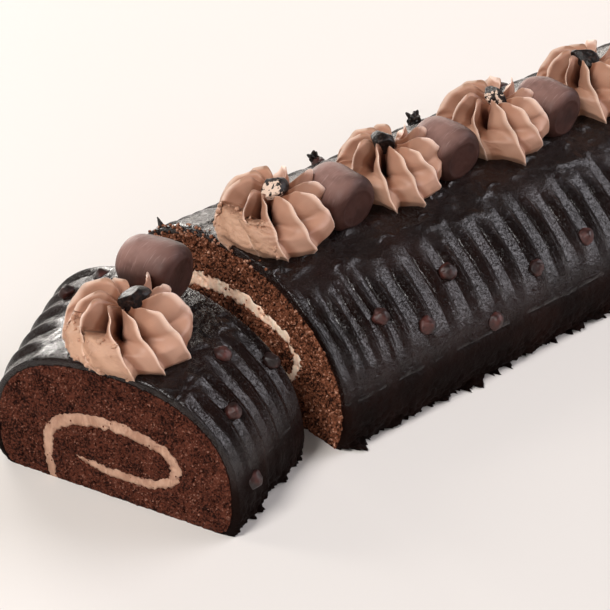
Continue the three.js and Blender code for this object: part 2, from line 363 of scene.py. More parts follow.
place_camera(
    eye=(-0.41704, -0.36980, 0.32139),
    right=(0.74962, -0.66187, 0.0),
    up=(0.34876, 0.39500, 0.84990),
    forward=(0.56252, 0.63711, -0.52694),
    lens=109.652,
)
print("camera placed")

# %% [markdown]
# ## The shape of the cake
# A swiss roll sags into a D shape on the board: widest low down, with a foot
# that tucks in. Two quarter superellipses give that outline, one above the
# widest line and one below it. The same sizes made the frame, so a point is
# named by how far along the cake it lies, and where on the arch: 0 at the
# crown, -1 and 1 at the two feet.

# %% Sizes of the two lengths of cake, in millimetres
COAT = 2.7
ROLL_SECTION = dict(half=52.0, height=48.5, wall=12.3, foot_half=46.7, crown=2.05, foot=2.43)
FRONT_SECTION = dict(half=40.8, height=43.3, wall=11.2, foot_half=35.3, crown=2.47, foot=2.43)
BACK_SECTION = dict(half=48.0, height=46.5, wall=11.6, foot_half=42.2, crown=2.12, foot=2.43)
ROLL = dict(
    name="roll", length=240.0, x=(-120.0, 120.0), y=(0.0, 0.0), turn=(0.0, 0.0),
    sections=(ROLL_SECTION, ROLL_SECTION), wide=(1.44, 1.44), high=(1.3, 1.3), thin=0.6,
)
SLICE = dict(
    name="slice", length=42.0, x=(-182.0, -142.9), y=(-22.7, 0.6), turn=(20.3, 14.0),
    sections=(FRONT_SECTION, BACK_SECTION), wide=(1.0, 1.18), high=(1.0, 1.02), thin=0.9,
)
CROWN_SHARE = 0.76


def between(pair, s):
    """From the first value at s = 0 to the second at s = 1."""
    return pair[0] + (pair[1] - pair[0]) * s


def section_at(cake, s):
    """The sizes of the outline at s, from 0 at the front cut to 1 at the back."""
    first, last = cake["sections"]
    return {key: between((first[key], last[key]), s) for key in first}


print("roll", ROLL["length"], "mm long, slice", SLICE["length"], "mm")


# %% From the arch to a place
def arch(cake, s, t, grow=0.0):
    """Across and up, for arrays s and t of one shape. grow moves the outline out."""
    section = section_at(cake, s)
    u = np.abs(t)
    wide, foot = section["half"] + grow, section["foot_half"] + grow
    rise = section["height"] + grow - section["wall"]
    over = np.clip(u / CROWN_SHARE, 0, 1) * math.pi / 2
    under = np.clip((u - CROWN_SHARE) / (1 - CROWN_SHARE), 0, 1) * math.pi / 2
    cos_over, cos_under = np.clip(np.cos(over), 0, 1), np.clip(np.cos(under), 0, 1)
    above = u < CROWN_SHARE
    across = np.where(
        above,
        wide * np.sin(over) ** (2 / section["crown"]),
        foot + (wide - foot) * cos_under ** (2 / section["foot"]),
    )
    up = np.where(
        above,
        section["wall"] + rise * cos_over ** (2 / section["crown"]),
        section["wall"] * (1 - np.sin(under) ** (2 / section["foot"])),
    )
    return np.sign(t) * across, up


def place(cake, s, across, up):
    """From across and up at s to the cake's place, as rows of x, y, z."""
    turn = np.radians(between(cake["turn"], s))
    x = between(cake["x"], s) - np.sin(turn) * across
    y = between(cake["y"], s) + np.cos(turn) * across
    return np.stack(np.broadcast_arrays(x, y, up), axis=-1)


widest, level = arch(ROLL, 0.5, CROWN_SHARE)
print(f"the roll is widest, {2 * widest:.1f} mm, at {level:.1f} mm up")

# %% [markdown]
# ## Finishes
# Colours are mixed as they look on screen and turned to the linear values
# that the renderer works in. Every finish varies over its surface: a colour
# that wanders, a roughness that wanders, and a bump for what is too fine to
# model. All patterns read the piece's own coordinates, so they stay put.

# %% Start a finish
def colour(red, green, blue):
    """A screen colour, from 0 to 255, as linear values."""
    def linear(value):
        share = value / 255
        return share / 12.92 if share <= 0.04045 else ((share + 0.055) / 1.055) ** 2.4
    return (linear(red), linear(green), linear(blue), 1.0)


def new_finish(name, constants):
    """Returns the material, its bench, its shader and the piece's own coordinates."""
    material = bpy.data.materials.new(name)
    material.use_nodes = True
    shader = material.node_tree.nodes["Principled BSDF"]
    for socket, value in constants.items():
        shader.inputs[socket].default_value = value
    bench = Bench(material.node_tree)
    where = bench.node("ShaderNodeTexCoord", None, None, "Object")
    return material, bench, shader, where


def kept_value(bench, name):
    """A value that the piece keeps on its points."""
    return bench.node("ShaderNodeAttribute", {"attribute_name": name}, None, "Fac")


def set_surface(bench, shader, shade, roughness, relief, depth, strength=1.0):
    """Fills what varies: colour, roughness and a bump that is depth metres deep."""
    bump = bench.node("ShaderNodeBump", None, {"Height": relief, "Distance": depth, "Strength": strength})
    for socket, value in {"Base Color": shade, "Roughness": roughness, "Normal": bump}.items():
        bench.fill(shader.inputs[socket], value)
    return bump


print("mid grey on screen is", round(colour(128, 128, 128)[0], 3), "in linear light")

# %% [markdown]
# ### Ganache
# Set ganache is nearly black. The comb leaves the floor of each groove
# polished and finely crinkled, while the walls between grooves, the low
# sides and the hem stay dull. The colour hardly changes; what the eye reads
# is the broken reflection of the lights. So there are two skins, polished
# and dull, mixed by a value kept on the points, under one set of crinkles.
# On the crown the spatula lifted off in little crescents. A cell pattern
# gives those: a ring round the middle of some cells, of which only one side
# is kept.

# %% Ganache finish
# Crescents: cells to the metre, the ring in each, and what is kept of it.
LIPS = dict(scale=105.0, ring=0.36, width=0.05, height=3.0)
LIP_SIDE, LIP_CHOSEN, LIP_BAND = (0.0004, 0.0026), (0.5, 0.6), (0.02, 0.06, 0.2, 0.28)
CRINKLES = dict(scale=1150.0, twist=1.4, stretch=(0.8, 0.9, 1.4), width=0.055)
GRAINY, LUMPY = dict(scale=2200.0, height=0.5), dict(scale=380.0, height=6.5)
WRINKLED, UNWRINKLED = 0.95, 0.03


def knife_lips(bench, where):
    """Small crescents on the crown, where the spatula lifted off."""
    cell = bench.cells(LIPS["scale"], where)
    ring = (cell - LIPS["ring"]) / LIPS["width"]
    away = bench.vector("SUBTRACT", where, cell.output("Position")).parts()
    one_side = away[1].ramp(*LIP_SIDE)
    chosen = cell.output("Color").parts()[0].ramp(*LIP_CHOSEN)
    u = abs(kept_value(bench, "round"))
    crown = u.ramp(*LIP_BAND[:2]) * u.fall(*LIP_BAND[2:])
    return ring.bell() * one_side * chosen * crown


def ganache_relief(bench, where, polish):
    """Crinkles where it is polished, soft lumps where it is dull, and the crescents."""
    drag = bench.vector("MULTIPLY", where, CRINKLES["stretch"])
    folds = bench.noise(CRINKLES["scale"], 2.0, 0.5, CRINKLES["twist"], drag)
    creases = abs(folds - 0.5).ramp(0.0, CRINKLES["width"])
    grain = bench.noise(GRAINY["scale"], 2.0, where=where) * GRAINY["height"]
    crinkles = (creases + grain) * (kept_value(bench, "wrinkle") * WRINKLED + UNWRINKLED)
    lumps = bench.noise(LUMPY["scale"], 3.0, 0.6, where=where) * (1.0 - polish) * LUMPY["height"]
    return crinkles + lumps + knife_lips(bench, where) * LIPS["height"]


def ganache_finish():
    material, bench, shader, where = new_finish("ganache", {"IOR": 1.5, "Specular IOR Level": 0.47})
    polish = kept_value(bench, "gloss")
    patch = bench.noise(60.0, 3.0, where=where)
    pale = patch.ramp(0.35, 0.7)
    shade = bench.blend(pale, colour(19, 8, 6), colour(30, 14, 11))
    relief = ganache_relief(bench, where, polish)
    crinkled = set_surface(bench, shader, shade, 0.15 + patch * 0.06, relief, 0.0002)
    dull = bench.node("ShaderNodeBsdfPrincipled", None, {
        "Base Color": bench.blend(pale, colour(18, 8, 6), colour(30, 15, 11)),
        "Roughness": 0.5, "IOR": 1.5, "Specular IOR Level": 0.015, "Normal": crinkled,
    })
    skins = {0: polish, 1: dull, 2: Field(bench, shader.outputs[0])}
    both = bench.node("ShaderNodeMixShader", None, skins)
    bench.fill(bench.tree.nodes["Material Output"].inputs["Surface"], both)
    return material


GANACHE = ganache_finish()
print("finish:", GANACHE.name)

# %% [markdown]
# ### Sponge
# A cut chocolate sponge is a dark red brown with open cells. The pieces keep
# a value, crumb, that says how high each point stands, and the colour follows
# it: painted shade, nearly black, in the deep cells, and a painted highlight on
# the torn crumbs that stand up. A fine grain breaks up what lies between the points.

# %% Sponge finish
def sponge_finish(name, deep, middle, high):
    material, bench, shader, where = new_finish(name, {"IOR": 1.45, "Specular IOR Level": 0.15})
    crumb = kept_value(bench, "crumb")
    fine = bench.noise(1300.0, 3.0, 0.65, where=where)
    broad = bench.noise(130.0, 2.0, where=where)
    pits = bench.cells(900.0, where)
    # Colour by height: painted shade in the low cells and a painted highlight on what stands high; the noise
    # adds random tone.
    height = crumb * 0.6 + (fine - 0.5) * 1.3 + (broad - 0.5) * 0.5 + 0.06
    stops = [(0.2, deep), (0.45, middle), (0.58, middle), (0.8, high)]
    shade = bench.node("ShaderNodeValToRGB", {"stops": stops}, {0: height})
    set_surface(bench, shader, shade, 0.92 - fine * 0.35, fine + pits * 0.5, 0.0011)
    return material


# The roll's sponge is painted paler than the slice's, standing in for light on its cut face, which lies in
# the slice's shadow.
ROLL_SPONGE_PAINTED_LIGHTER = sponge_finish("roll sponge painted lighter", colour(26, 6, 1), colour(134, 80, 56), colour(234, 180, 152))
SLICE_SPONGE = sponge_finish("slice sponge", colour(30, 6, 1), colour(98, 50, 35), colour(166, 120, 102))
print("finishes:", ROLL_SPONGE_PAINTED_LIGHTER.name, "and", SLICE_SPONGE.name)

# %% [markdown]
# ### Cream
# The filling is a pale cocoa cream dragged by the knife, so it has fine
# streaks and carries dark crumbs. The piped cream on top is smoother and
# warmer, with a painted highlight on its thin crests and painted shade in its
# folds. Light goes a little way into both, which a small amount of subsurface gives.

# %% Filling finish
def cream_constants(weight, radius, scale):
    return {"Subsurface Weight": weight, "Subsurface Radius": radius, "Subsurface Scale": scale}


def filling_finish(name, dark, pale, dirt):
    material, bench, shader, where = new_finish(name, cream_constants(0.1, (1.0, 0.6, 0.4), 0.002))
    streak = bench.noise(420.0, 3.0, 0.6, 0.4, bench.vector("MULTIPLY", where, (1.0, 1.0, 0.35)))
    smear = bench.noise(330.0, 3.0, 0.7, where=bench.vector("ADD", where, (0.3, 0.1, 0.2)))
    body = bench.blend(streak.ramp(0.3, 0.7), dark, pale)
    patches = smear.ramp(0.6, 0.74) * 0.6
    rims = kept_value(bench, "edge").ramp(0.3, 1.0, 0.0, 0.55) * smear.ramp(0.4, 0.6)
    dirty = (patches + rims).at_most(0.9) * dirt
    shade = bench.blend(dirty, body, colour(120, 72, 52))
    set_surface(bench, shader, shade, 0.5 + streak * 0.3, streak + smear * 0.5, 0.0006, 0.8)
    return material


SLICE_FILLING = filling_finish("slice filling", colour(162, 120, 97), colour(196, 156, 132), 1.0)
# The roll's cream is painted far paler than the slice's, and with less dirt, standing in for light on its
# cut face, which lies in the slice's shadow.
ROLL_FILLING_PAINTED_LIGHTER = filling_finish("roll filling painted lighter", colour(255, 208, 178), colour(255, 232, 208), 0.3)
print("finishes:", SLICE_FILLING.name, "and", ROLL_FILLING_PAINTED_LIGHTER.name)


# %% Piped cream finish
def piped_finish():
    constants = {**cream_constants(0.08, (1.0, 0.7, 0.5), 0.0015), "IOR": 1.45}
    material, bench, shader, where = new_finish("piped cream", constants)
    crest, torn = kept_value(bench, "crest"), kept_value(bench, "torn")
    broad = bench.noise(90.0, 2.0, where=where)
    rough = bench.noise(900.0, 3.0, 0.6, where=where)
    body = bench.blend(broad.ramp(0.3, 0.7), colour(174, 130, 107), colour(188, 144, 121))
    # Painted shade: darker towards the folds, darkest in the pockets beside each crest.
    shaded = bench.blend(crest.ramp(-0.6, 0.0), colour(78, 40, 28), colour(146, 98, 75))
    folds = bench.blend(crest.ramp(0.0, 0.3), shaded, body)
    # Painted highlight along the thin crests.
    edges = bench.blend(crest.ramp(0.87, 1.0, 0.0, 0.85), folds, colour(248, 214, 194))
    shade = bench.blend(torn * 0.5, edges, colour(214, 172, 142))
    roughness = 0.42 + broad * 0.12 + torn * 0.15
    set_surface(bench, shader, shade, roughness, rough * (torn * 0.85 + 0.08), 0.0005, 0.8)
    return material


PIPED = piped_finish()
print("finish:", PIPED.name)

# %% [markdown]
# ### Chocolate candies, chips and nibs
# The candies are milk chocolate that has rubbed against its neighbours: a
# dull mauve brown with a greyish bloom and pale scuffs on top, laid on the
# side that faces the light, so they are also a painted sheen. The chips are
# redder and plain. The nibs are almost black and broken, with wet glints,
# and two of them carry a pale dust.

# %% Chocolate finishes
def candy_finish():
    material, bench, shader, where = new_finish("candy chocolate", {"IOR": 1.45, "Specular IOR Level": 0.22})
    broad = bench.noise(110.0, 3.0, 0.55, where=where)
    brush = bench.noise(2000.0, 2.0, 0.6, 0.0, bench.vector("MULTIPLY", where, (0.1, 1.0, 0.1)))
    # The bloom is partly a painted sheen on what faces the light, and the pale scuffs lie only there.
    bloom = kept_value(bench, "bloom")
    body = bench.blend(broad.ramp(0.35, 0.65), colour(50, 28, 23), colour(68, 41, 35))
    bloom_and_sheen_colour = bench.blend(bloom * broad.ramp(0.2, 0.6, 0.5, 1.0) * 0.8, body, colour(160, 124, 115))
    scuffs_and_sheen = brush.ramp(0.55, 0.75) * bloom * 0.5
    shade = bench.blend(scuffs_and_sheen, bloom_and_sheen_colour, colour(180, 150, 144))
    relief = brush * 0.6 + bench.noise(240.0, where=where)
    set_surface(bench, shader, shade, 0.4 + brush * 0.25, relief, 0.0003, 0.5)
    return material


def chip_finish():
    material, bench, shader, where = new_finish("chip chocolate", {"IOR": 1.45})
    broad = bench.noise(150.0, 2.0, where=where)
    fine = bench.noise(500.0, 2.0, where=where)
    red = bench.blend(fine.ramp(0.3, 0.7), colour(48, 22, 18), colour(78, 37, 31))
    shade = bench.blend(broad.ramp(0.4, 0.62), red, colour(28, 14, 12))
    set_surface(bench, shader, shade, 0.34 + fine * 0.3, fine, 0.0004, 0.4)
    return material


def nib_finish():
    material, bench, shader, where = new_finish("cocoa nib", {"IOR": 1.5, "Specular IOR Level": 0.25})
    broken = bench.cells(800.0, where)
    grain = bench.noise(900.0, 3.0, 0.6, where=where)
    speckle = bench.noise(700.0, 3.0, 0.6, where=where).ramp(0.3, 0.7)
    dusted = (kept_value(bench, "dust") - speckle).ramp(0.0, 0.15)
    cocoa = bench.blend(grain.ramp(0.45, 0.75), colour(18, 12, 11), colour(54, 36, 30))
    shade = bench.blend(dusted, cocoa, colour(228, 200, 180))
    set_surface(bench, shader, shade, 0.26 + grain * 0.3, broken * 0.3 + grain, 0.0003, 0.7)
    return material


CANDY_CHOCOLATE = candy_finish()
CHIP_CHOCOLATE = chip_finish()
NIB_FINISH = nib_finish()
print("finishes:", CANDY_CHOCOLATE.name, CHIP_CHOCOLATE.name, NIB_FINISH.name)

# %% [markdown]
# ## The coat
# Warm ganache is spread over the roll and combed across it, which scoops
# grooves from the shoulders to above the hem. One long roll is then cut, so
# the coat is an open arch with a thick rim at each cut.
# The mesh is a grid bent over the arch: it runs out over the surface and back
# underneath in one go, so it closes on itself. Two flat faces close its feet.

# %% Grid of the coat
# How the coat rounds a rim: along and out in millimetres, and its share of the comb.
RIM = [
    (0.0, -COAT, 0.0), (-0.1, -1.9, 0.1), (-0.05, -1.25, 0.25),
    (0.12, -0.7, 0.45), (0.45, -0.28, 0.7), (0.95, -0.06, 0.9),
]
FIRST_ROW, LAST_ROW = 1.5, 1.3


def coat_rows(length, step):
    """The rows over the surface: along, out, and share of the comb."""
    middle = [(along, 0.0, 1.0) for along in np.arange(FIRST_ROW, length - LAST_ROW, step)]
    far_rim = [(length - along, grow, skin) for along, grow, skin in reversed(RIM)]
    return [np.array(part) for part in zip(*RIM, *middle, *far_rim)]


def coat_grid(cake, step, columns):
    """The coat's outer points, and what the comb must know of each."""
    along, grow, skin = coat_rows(cake["length"], step)
    s_grid, t_grid = np.meshgrid(along / cake["length"], np.linspace(-1, 1, columns), indexing="ij")
    grow_grid = np.repeat(grow[:, None], columns, axis=1)
    points = place(cake, s_grid, *arch(cake, s_grid, t_grid, grow_grid)).reshape(-1, 3)
    beyond = place(cake, s_grid, *arch(cake, s_grid, t_grid, grow_grid + 1.0)).reshape(-1, 3)
    outward = beyond - points
    outward /= np.linalg.norm(outward, axis=1)[:, None]
    values = {
        "along": np.repeat(along, columns) * MM,
        "round": t_grid.ravel(),
        "skin": np.repeat(skin, columns),
        "outward": outward,
    }
    return points, len(along), values


def coat_faces(row_count, columns):
    """Bands between the rows, round and back, and the two feet."""
    faces = []
    for row in range(row_count):
        here, there = row * columns, (row + 1) % row_count * columns
        faces += [(here + j, there + j, there + j + 1, here + j + 1) for j in range(columns - 1)]
    left = [row * columns for row in range(row_count)]
    return [*faces, left[::-1], [corner + columns - 1 for corner in left]]


print("a rim is rounded in", len(RIM), "rows")

# %% [markdown]
# The comb is the rule that repeats, so it is a tree: a wave along the cake.
# Each tooth scoops a flat floor, and the floors are parted by narrow walls.
# The grooves fade in below the crown and out above the hem. Each starts as a
# rounded finger, because its middle reaches higher up the shoulder than its
# sides, and a little ganache piles up in a lip ahead of it. Near the roll's
# cut end the comb left closer, sharper grooves.

# %% Ribs of the comb
# Sizes are in metres. Rib Start and Rib End are places on the arch, and Rib
# Wall is the share of a pitch where the floor ends.
COMB_INPUTS = {
    "Rib Pitch": 0.0096, "Rib Relief": 0.0013, "Rib Wall": 0.58, "Close Ribs": 0.0,
    "Rib Start": 0.22, "Rib End": 0.62, "Rib Tail": 0.0, "Lip Height": 0.001,
    "Unevenness": 0.0008, "Ripple": 0.0003, "Smears": 0.0005,
    "Crease": 1.0, "Crease Depth": 0.0022, "Brim Height": 0.003, "Skirt": 0.0005,
    "Hem Spread": 0.0057, "Hem Lumps": 0.0042, "Hem Spikes": 0.0027,
    "Seed": 1, "Finish": None,
}
# Near the cut the pitch shrinks, and everywhere it wavers.
CLOSER, WAVER = 0.8, 0.3
# How the grooves differ in where they start and end, as places on the arch.
FINGER, OWN_START, RAGGED_START, OWN_END = 0.045, 0.04, 0.03, 0.05
LIP_AHEAD, LIP_APART, LIP_WIDTH = 0.045, 0.09, 0.011


def comb_ribs(bench, given, along, u, slow, quick):
    """Returns the heights of ribs and lips, and where the walls stand."""
    near = (along - given["Close Ribs"]).at_most(0.0)
    count = (along + near * CLOSER) / given["Rib Pitch"] + slow * WAVER
    phase, number = count.maths("FRACT"), count.maths("FLOOR")
    own = bench.own_share(number + given["Seed"])
    side = (phase - 0.5) * 2.0
    past_floor = phase - given["Rib Wall"]
    scoop = phase.ramp(0.0, 0.12) * past_floor.fall(0.0, 0.34)
    wall = past_floor.ramp(-0.02, 0.08) * phase.fall(0.9, 0.98)

    start = given["Rib Start"] + side * side * FINGER + own * OWN_START + quick * RAGGED_START
    begun = (u - start).ramp(0.0, 0.13)
    past_end = u - given["Rib End"] + own * OWN_END
    ended = past_end.fall(-0.2, 0.08, given["Rib Tail"]) * u.fall(0.82, 0.92)
    ribs = given["Rib Relief"] * scoop * (0.8 + own * 0.4) * begun * ended * -1.0
    ahead = (u - start + LIP_AHEAD + own * LIP_APART) / LIP_WIDTH
    lips = ahead.bell() * (side * side).fall(0.05, 0.5) * own * given["Lip Height"]
    return [ribs, lips], wall * begun * ended


print("ribs every", COMB_INPUTS["Rib Pitch"] / MM, "mm")

# %% [markdown]
# Over the ribs go slow unevenness, and small dents and lips where the spatula
# lifted. Low on the side the board pressed a broken crease, with a brim of
# ganache squeezed out above it. Below that the coat stands out in a skirt and
# ends in a torn, spreading hem of lumps and spikes.

# %% Dents, crease and hem
CREASE_AT, CREASE_WIDTH, BRIM_ABOVE = 0.7, 0.006, 1.8


def spatula_smears(bench, given, spot, u):
    """Small steps up and down on the shoulders, drawn out along the cake."""
    dents = bench.noise(190.0, 3.0, 0.55, 0.6, bench.vector("MULTIPLY", spot, (0.55, 1.0, 1.0)))
    shoulder = u.ramp(0.03, 0.12) * u.fall(0.22, 0.34) + 0.15
    return (dents.ramp(0.56, 0.66) - dents.fall(0.3, 0.42) * 0.6) * given["Smears"] * shoulder


def pressed_crease(given, u, slow, quick):
    """Returns the height of the crease, and the share of its brim."""
    crease = (u + slow * 0.05 + quick * 0.01 - CREASE_AT) / CREASE_WIDTH
    dashes = (quick + 0.12).at_least(0.0) * given["Crease"]
    pressed = crease.bell() * dashes * given["Crease Depth"] * -1.0
    return pressed, (crease + BRIM_ABOVE).bell() * dashes


def torn_hem(bench, given, spot, u):
    """The heights of the skirt, the spread hem, its lumps and its spikes."""
    skirt = u.ramp(0.69, 0.78) * given["Skirt"]
    torn = bench.noise(190.0, 2.0, 0.6, where=spot)
    spread = (bench.noise(60.0, 2.0, where=spot).ramp(0.4, 0.6) * 0.7 + 0.3) * torn.ramp(0.45, 0.72)
    hem = u.ramp(0.86, 1.0) * spread * given["Hem Spread"]
    rough = bench.noise(520.0, 2.0, where=spot) - 0.5
    lumps = u.ramp(0.72, 0.9) * ((torn - 0.5) * given["Hem Lumps"] + rough * given["Hem Lumps"])
    spikes = u.ramp(0.93, 1.0) * bench.noise(330.0, 1.0, where=spot).ramp(0.58, 0.72)
    return [skirt, hem, lumps, spikes * given["Hem Spikes"]]


print("crease at", CREASE_AT, "of the arch")

# %% [markdown]
# The rule adds the heights up and moves each point along its own outward
# direction, never below the board. It also keeps two values for the finish:
# wrinkle says how crinkled the skin is, and gloss how polished.

# %% Rule of the comb
# Clouds to the metre, of the unevenness and of the ripple.
SLOW, QUICK = 38.0, 170.0


def comb_rule():
    bench, given = new_rule("combed_coat", COMB_INPUTS)
    along, u = kept(bench, "along"), abs(kept(bench, "round"))
    spot = bench.shifted(position(bench), given["Seed"] * 0.37)
    slow = bench.noise(SLOW, 2.0, where=spot) - 0.5
    quick = bench.noise(QUICK, 2.0, where=spot) - 0.5
    ribs, walls = comb_ribs(bench, given, along, u, slow, quick)
    pressed, brim = pressed_crease(given, u, slow, quick)
    heights = [
        *ribs, slow * given["Unevenness"], quick * given["Ripple"], spatula_smears(bench, given, spot, u),
        pressed, brim * given["Brim Height"], *torn_hem(bench, given, spot, u),
    ]
    x, y, z = kept(bench, "outward", "FLOAT_VECTOR").parts()
    level = bench.combine(x, y, z.at_least(0.0))
    moved = nudge(bench, given["Geometry"], bench.scaled(level, sum(heights) * kept(bench, "skin")))
    wrinkle = (u.fall(0.5, 0.66, 0.2) + u.ramp(0.7, 0.9, 0.0, 0.8)).at_most(1.0)
    polish = (1.0 - walls * 0.85) * u.fall(0.56, 0.74, 0.04)
    polish = polish.at_least((brim * 9.0).at_most(0.9))
    glossy = keep(bench, keep(bench, moved, "wrinkle", wrinkle), "gloss", polish)
    return end_rule(bench, dress(bench, real_mesh(bench, glossy), given["Finish"]))


COMB = comb_rule()


# %% Coat both lengths
def make_coat(cake, step, columns, settings):
    points, row_count, values = coat_grid(cake, step, columns)
    piece = make_piece(f"{cake['name']}_ganache", points, coat_faces(row_count, columns), values)
    face_outwards(piece)
    apply_rule(piece, COMB, {**settings, "Finish": GANACHE})
    hand_over(piece, "icing", f"{cake['name']}_icing")


SLICE_COMB = {
    "Rib Pitch": 0.0084, "Rib Start": 0.19, "Rib Tail": 0.3, "Smears": 0.0004, "Crease": 0.2, "Seed": 8,
}
make_coat(ROLL, step=0.7, columns=241, settings={"Close Ribs": 0.026, "Seed": 3})
make_coat(SLICE, step=0.4, columns=261, settings=SLICE_COMB)

# %% [markdown]
# ## The cut faces
# Each cut shows the sponge and the hook of cream rolled into it. The hook is
# a line through a few points on the slice's face, thickened to both sides and
# stretched for each cut. The knife drags crumbs about, so its edges are
# ragged. The sponge outside the hook is one closed outline, and the hook is
# another, and they share their edge. A fine triangle net fills each outline,
# and walls join the front net to the back net.

# %% The line of the hook
# Across, up and half the thickness, in millimetres, from the inner end to the board.
HOOK = np.array([
    (12.8, 10.9, 0.5), (7.5, 9.4, 1.2), (0.5, 8.6, 1.7), (-7, 8.7, 1.7), (-14, 9.6, 1.6),
    (-19.4, 12.4, 1.7), (-20.8, 17.2, 1.9), (-17.6, 21.6, 1.9), (-9.5, 23.8, 1.9),
    (0, 24.8, 2.1), (9, 23.6, 2.3), (16, 21, 2.2), (20.6, 16.4, 1.9), (21.8, 9.5, 1.7),
    (20.8, 0, 1.6),
])
# On the left of the hook the cream is thinner, by the cake's own share.
THIN_LEFT, THIN_RIGHT, RIGHT_SHARE = -19.0, 6.0, 0.9


def curve_through(points, steps):
    """Centripetal spline through the points, as steps + 1 places."""
    padded = np.vstack([2 * points[0] - points[1], points, 2 * points[-1] - points[-2]])
    places = []
    for share in np.linspace(0, len(points) - 1, steps + 1):
        k = min(int(share), len(points) - 2)
        level = padded[k:k + 4]
        gaps = np.linalg.norm(np.diff(level, axis=0), axis=1) ** 0.5
        knots = np.concatenate([[0.0], np.cumsum(gaps)])
        at = knots[1] + (share - k) * gaps[1]
        for width in (1, 2, 3):
            level = [
                ((knots[i + width] - at) * level[i] + (at - knots[i]) * level[i + 1])
                / (knots[i + width] - knots[i])
                for i in range(len(level) - 1)
            ]
        places.append(level[0])
    return np.array(places)


def ragged_edge(steps, sign, seed):
    """How far the knife dragged each place of one side, from about -1 to 1."""
    coarse = [noise.noise(Vector((i * 0.09, sign * 3.1, seed + 5))) for i in range(steps + 1)]
    fine = [noise.noise(Vector((i * 0.33, sign * 7.3, seed))) for i in range(steps + 1)]
    return np.array(fine) + 0.6 * np.array(coarse)


def hook_sides(cake, s, steps, ragged, seed):
    """The two ragged sides of the hook, from its inner end to the board."""
    wide, high = between(cake["wide"], s), between(cake["high"], s)
    line = curve_through(HOOK * (wide, high, (wide + high) / 2), steps)
    line[:, 2] *= np.interp(line[:, 0] / wide, [THIN_LEFT, THIN_RIGHT], [cake["thin"], RIGHT_SHARE])
    heading = np.gradient(line[:, :2], axis=0)
    heading /= np.linalg.norm(heading, axis=1)[:, None]
    normal = np.stack([-heading[:, 1], heading[:, 0]], axis=1)
    sides = []
    for sign in (1, -1):
        thick = line[:, 2] + ragged * ragged_edge(steps, sign, seed)
        side = line[:, :2] + sign * normal * thick[:, None]
        side[-1, 1] = 0.0
        side[:, 1] = np.maximum(side[:, 1], 0.0)
        sides.append(side)
    return sides


print("hook drawn through", len(HOOK), "points")

# %% Fill an outline with a fine net
ROW_SHARE, SHAKEN, CLEAR_SHARE = 0.87, 0.22, 0.55
BATCH = 40


def inside(outline, points):
    """Which points lie inside the closed outline."""
    count = np.zeros(len(points), int)
    for (x1, y1), (x2, y2) in zip(outline, np.roll(outline, -1, axis=0)):
        crosses = (y1 > points[:, 1]) != (y2 > points[:, 1])
        with np.errstate(divide="ignore", invalid="ignore"):
            at = x1 + (points[:, 1] - y1) * (x2 - x1) / (y2 - y1)
        count += crosses & (points[:, 0] < at)
    return count % 2 == 1


def distance_to(outline, points):
    """How far each point is from the nearest corner, worked out in batches."""
    nearest = np.full(len(points), np.inf)
    for start in range(0, len(outline), BATCH):
        part = outline[start:start + BATCH]
        apart = np.linalg.norm(points[:, None, :] - part[None], axis=2).min(axis=1)
        nearest = np.minimum(nearest, apart)
    return nearest


def net(outline, spacing, seed):
    """(points, triangles): the outline's own points come first."""
    draw = np.random.default_rng(seed)
    low, high = outline.min(axis=0), outline.max(axis=0)
    columns = np.arange(low[0], high[0], spacing)
    rows = np.arange(low[1], high[1], spacing * ROW_SHARE)
    grid = np.stack(np.meshgrid(columns, rows), axis=-1)
    grid[1::2, :, 0] += spacing / 2
    grid = grid.reshape(-1, 2) + draw.uniform(-SHAKEN, SHAKEN, (grid.size // 2, 2)) * spacing
    grid = grid[inside(outline, grid)]
    grid = grid[distance_to(outline, grid) > spacing * CLEAR_SHARE]
    every = np.vstack([outline, grid])
    edges = [(i, (i + 1) % len(outline)) for i in range(len(outline))]
    made, _, triangles, sources, _, _ = geometry.delaunay_2d_cdt(
        [Vector(point) for point in every], edges, [], 1, 1e-5)
    back = [source[0] for source in sources]
    if len(made) != len(every):
        print("net changed its points:", len(every), "to", len(made))
    return every, [tuple(back[i] for i in triangle) for triangle in triangles]


print("net ready")

# %% Join two nets into a closed body
EDGE_REACH, EDGE_CUT = 1.2, 0.35


def sliced_body(name, cake, outlines, spacings, seed):
    """outlines: the closed outline on the front and back cut, with equal counts."""
    count = len(outlines[0])
    points, faces, starts = [], [], []
    values = {"outward": [], "cut": [], "edge": []}
    for s, outline, spacing in zip((0.0, 1.0), outlines, spacings):
        flat, triangles = net(outline, spacing, seed + int(s))
        starts.append(len(points))
        facing = 1 if s else -1
        turn = math.radians(between(cake["turn"], s))
        points += place(cake, s, flat[:, 0], flat[:, 1]).tolist()
        faces += [tuple(i + starts[-1] for i in triangle) for triangle in triangles]
        on_edge = np.arange(len(flat)) < count
        values["outward"] += [(facing * math.cos(turn), facing * math.sin(turn), 0.0)] * len(flat)
        values["cut"] += np.where(on_edge, EDGE_CUT, 1.0).tolist()
        values["edge"] += np.clip(1 - distance_to(outline, flat) / EDGE_REACH, 0, 1).tolist()
    for i in range(count):
        after = (i + 1) % count
        faces.append((starts[0] + i, starts[0] + after, starts[1] + after, starts[1] + i))
    piece = make_piece(name, points, faces, values)
    face_outwards(piece)
    return piece


# %% [markdown]
# The crumb is another rule: cells sink into the face, the rest stands up
# unevenly, and loose grains lie all over it, in a finish of their own. The
# tree moves the net in and out, keeps how high each point stands for the
# finish, and scatters small grains with a fixed seed.

# %% Copies strewn over a face
def join(bench, *shapes):
    """One shape out of several."""
    joined = bench.node("GeometryNodeJoinGeometry")
    for shape in shapes:
        bench.tree.links.new(shape.socket, joined.socket.node.inputs[0])
    return joined


def ball(bench, subdivisions):
    """A ball of triangles, one metre in radius until it is scaled."""
    return bench.node("GeometryNodeMeshIcoSphere", None, {"Radius": 1.0, "Subdivisions": subdivisions})


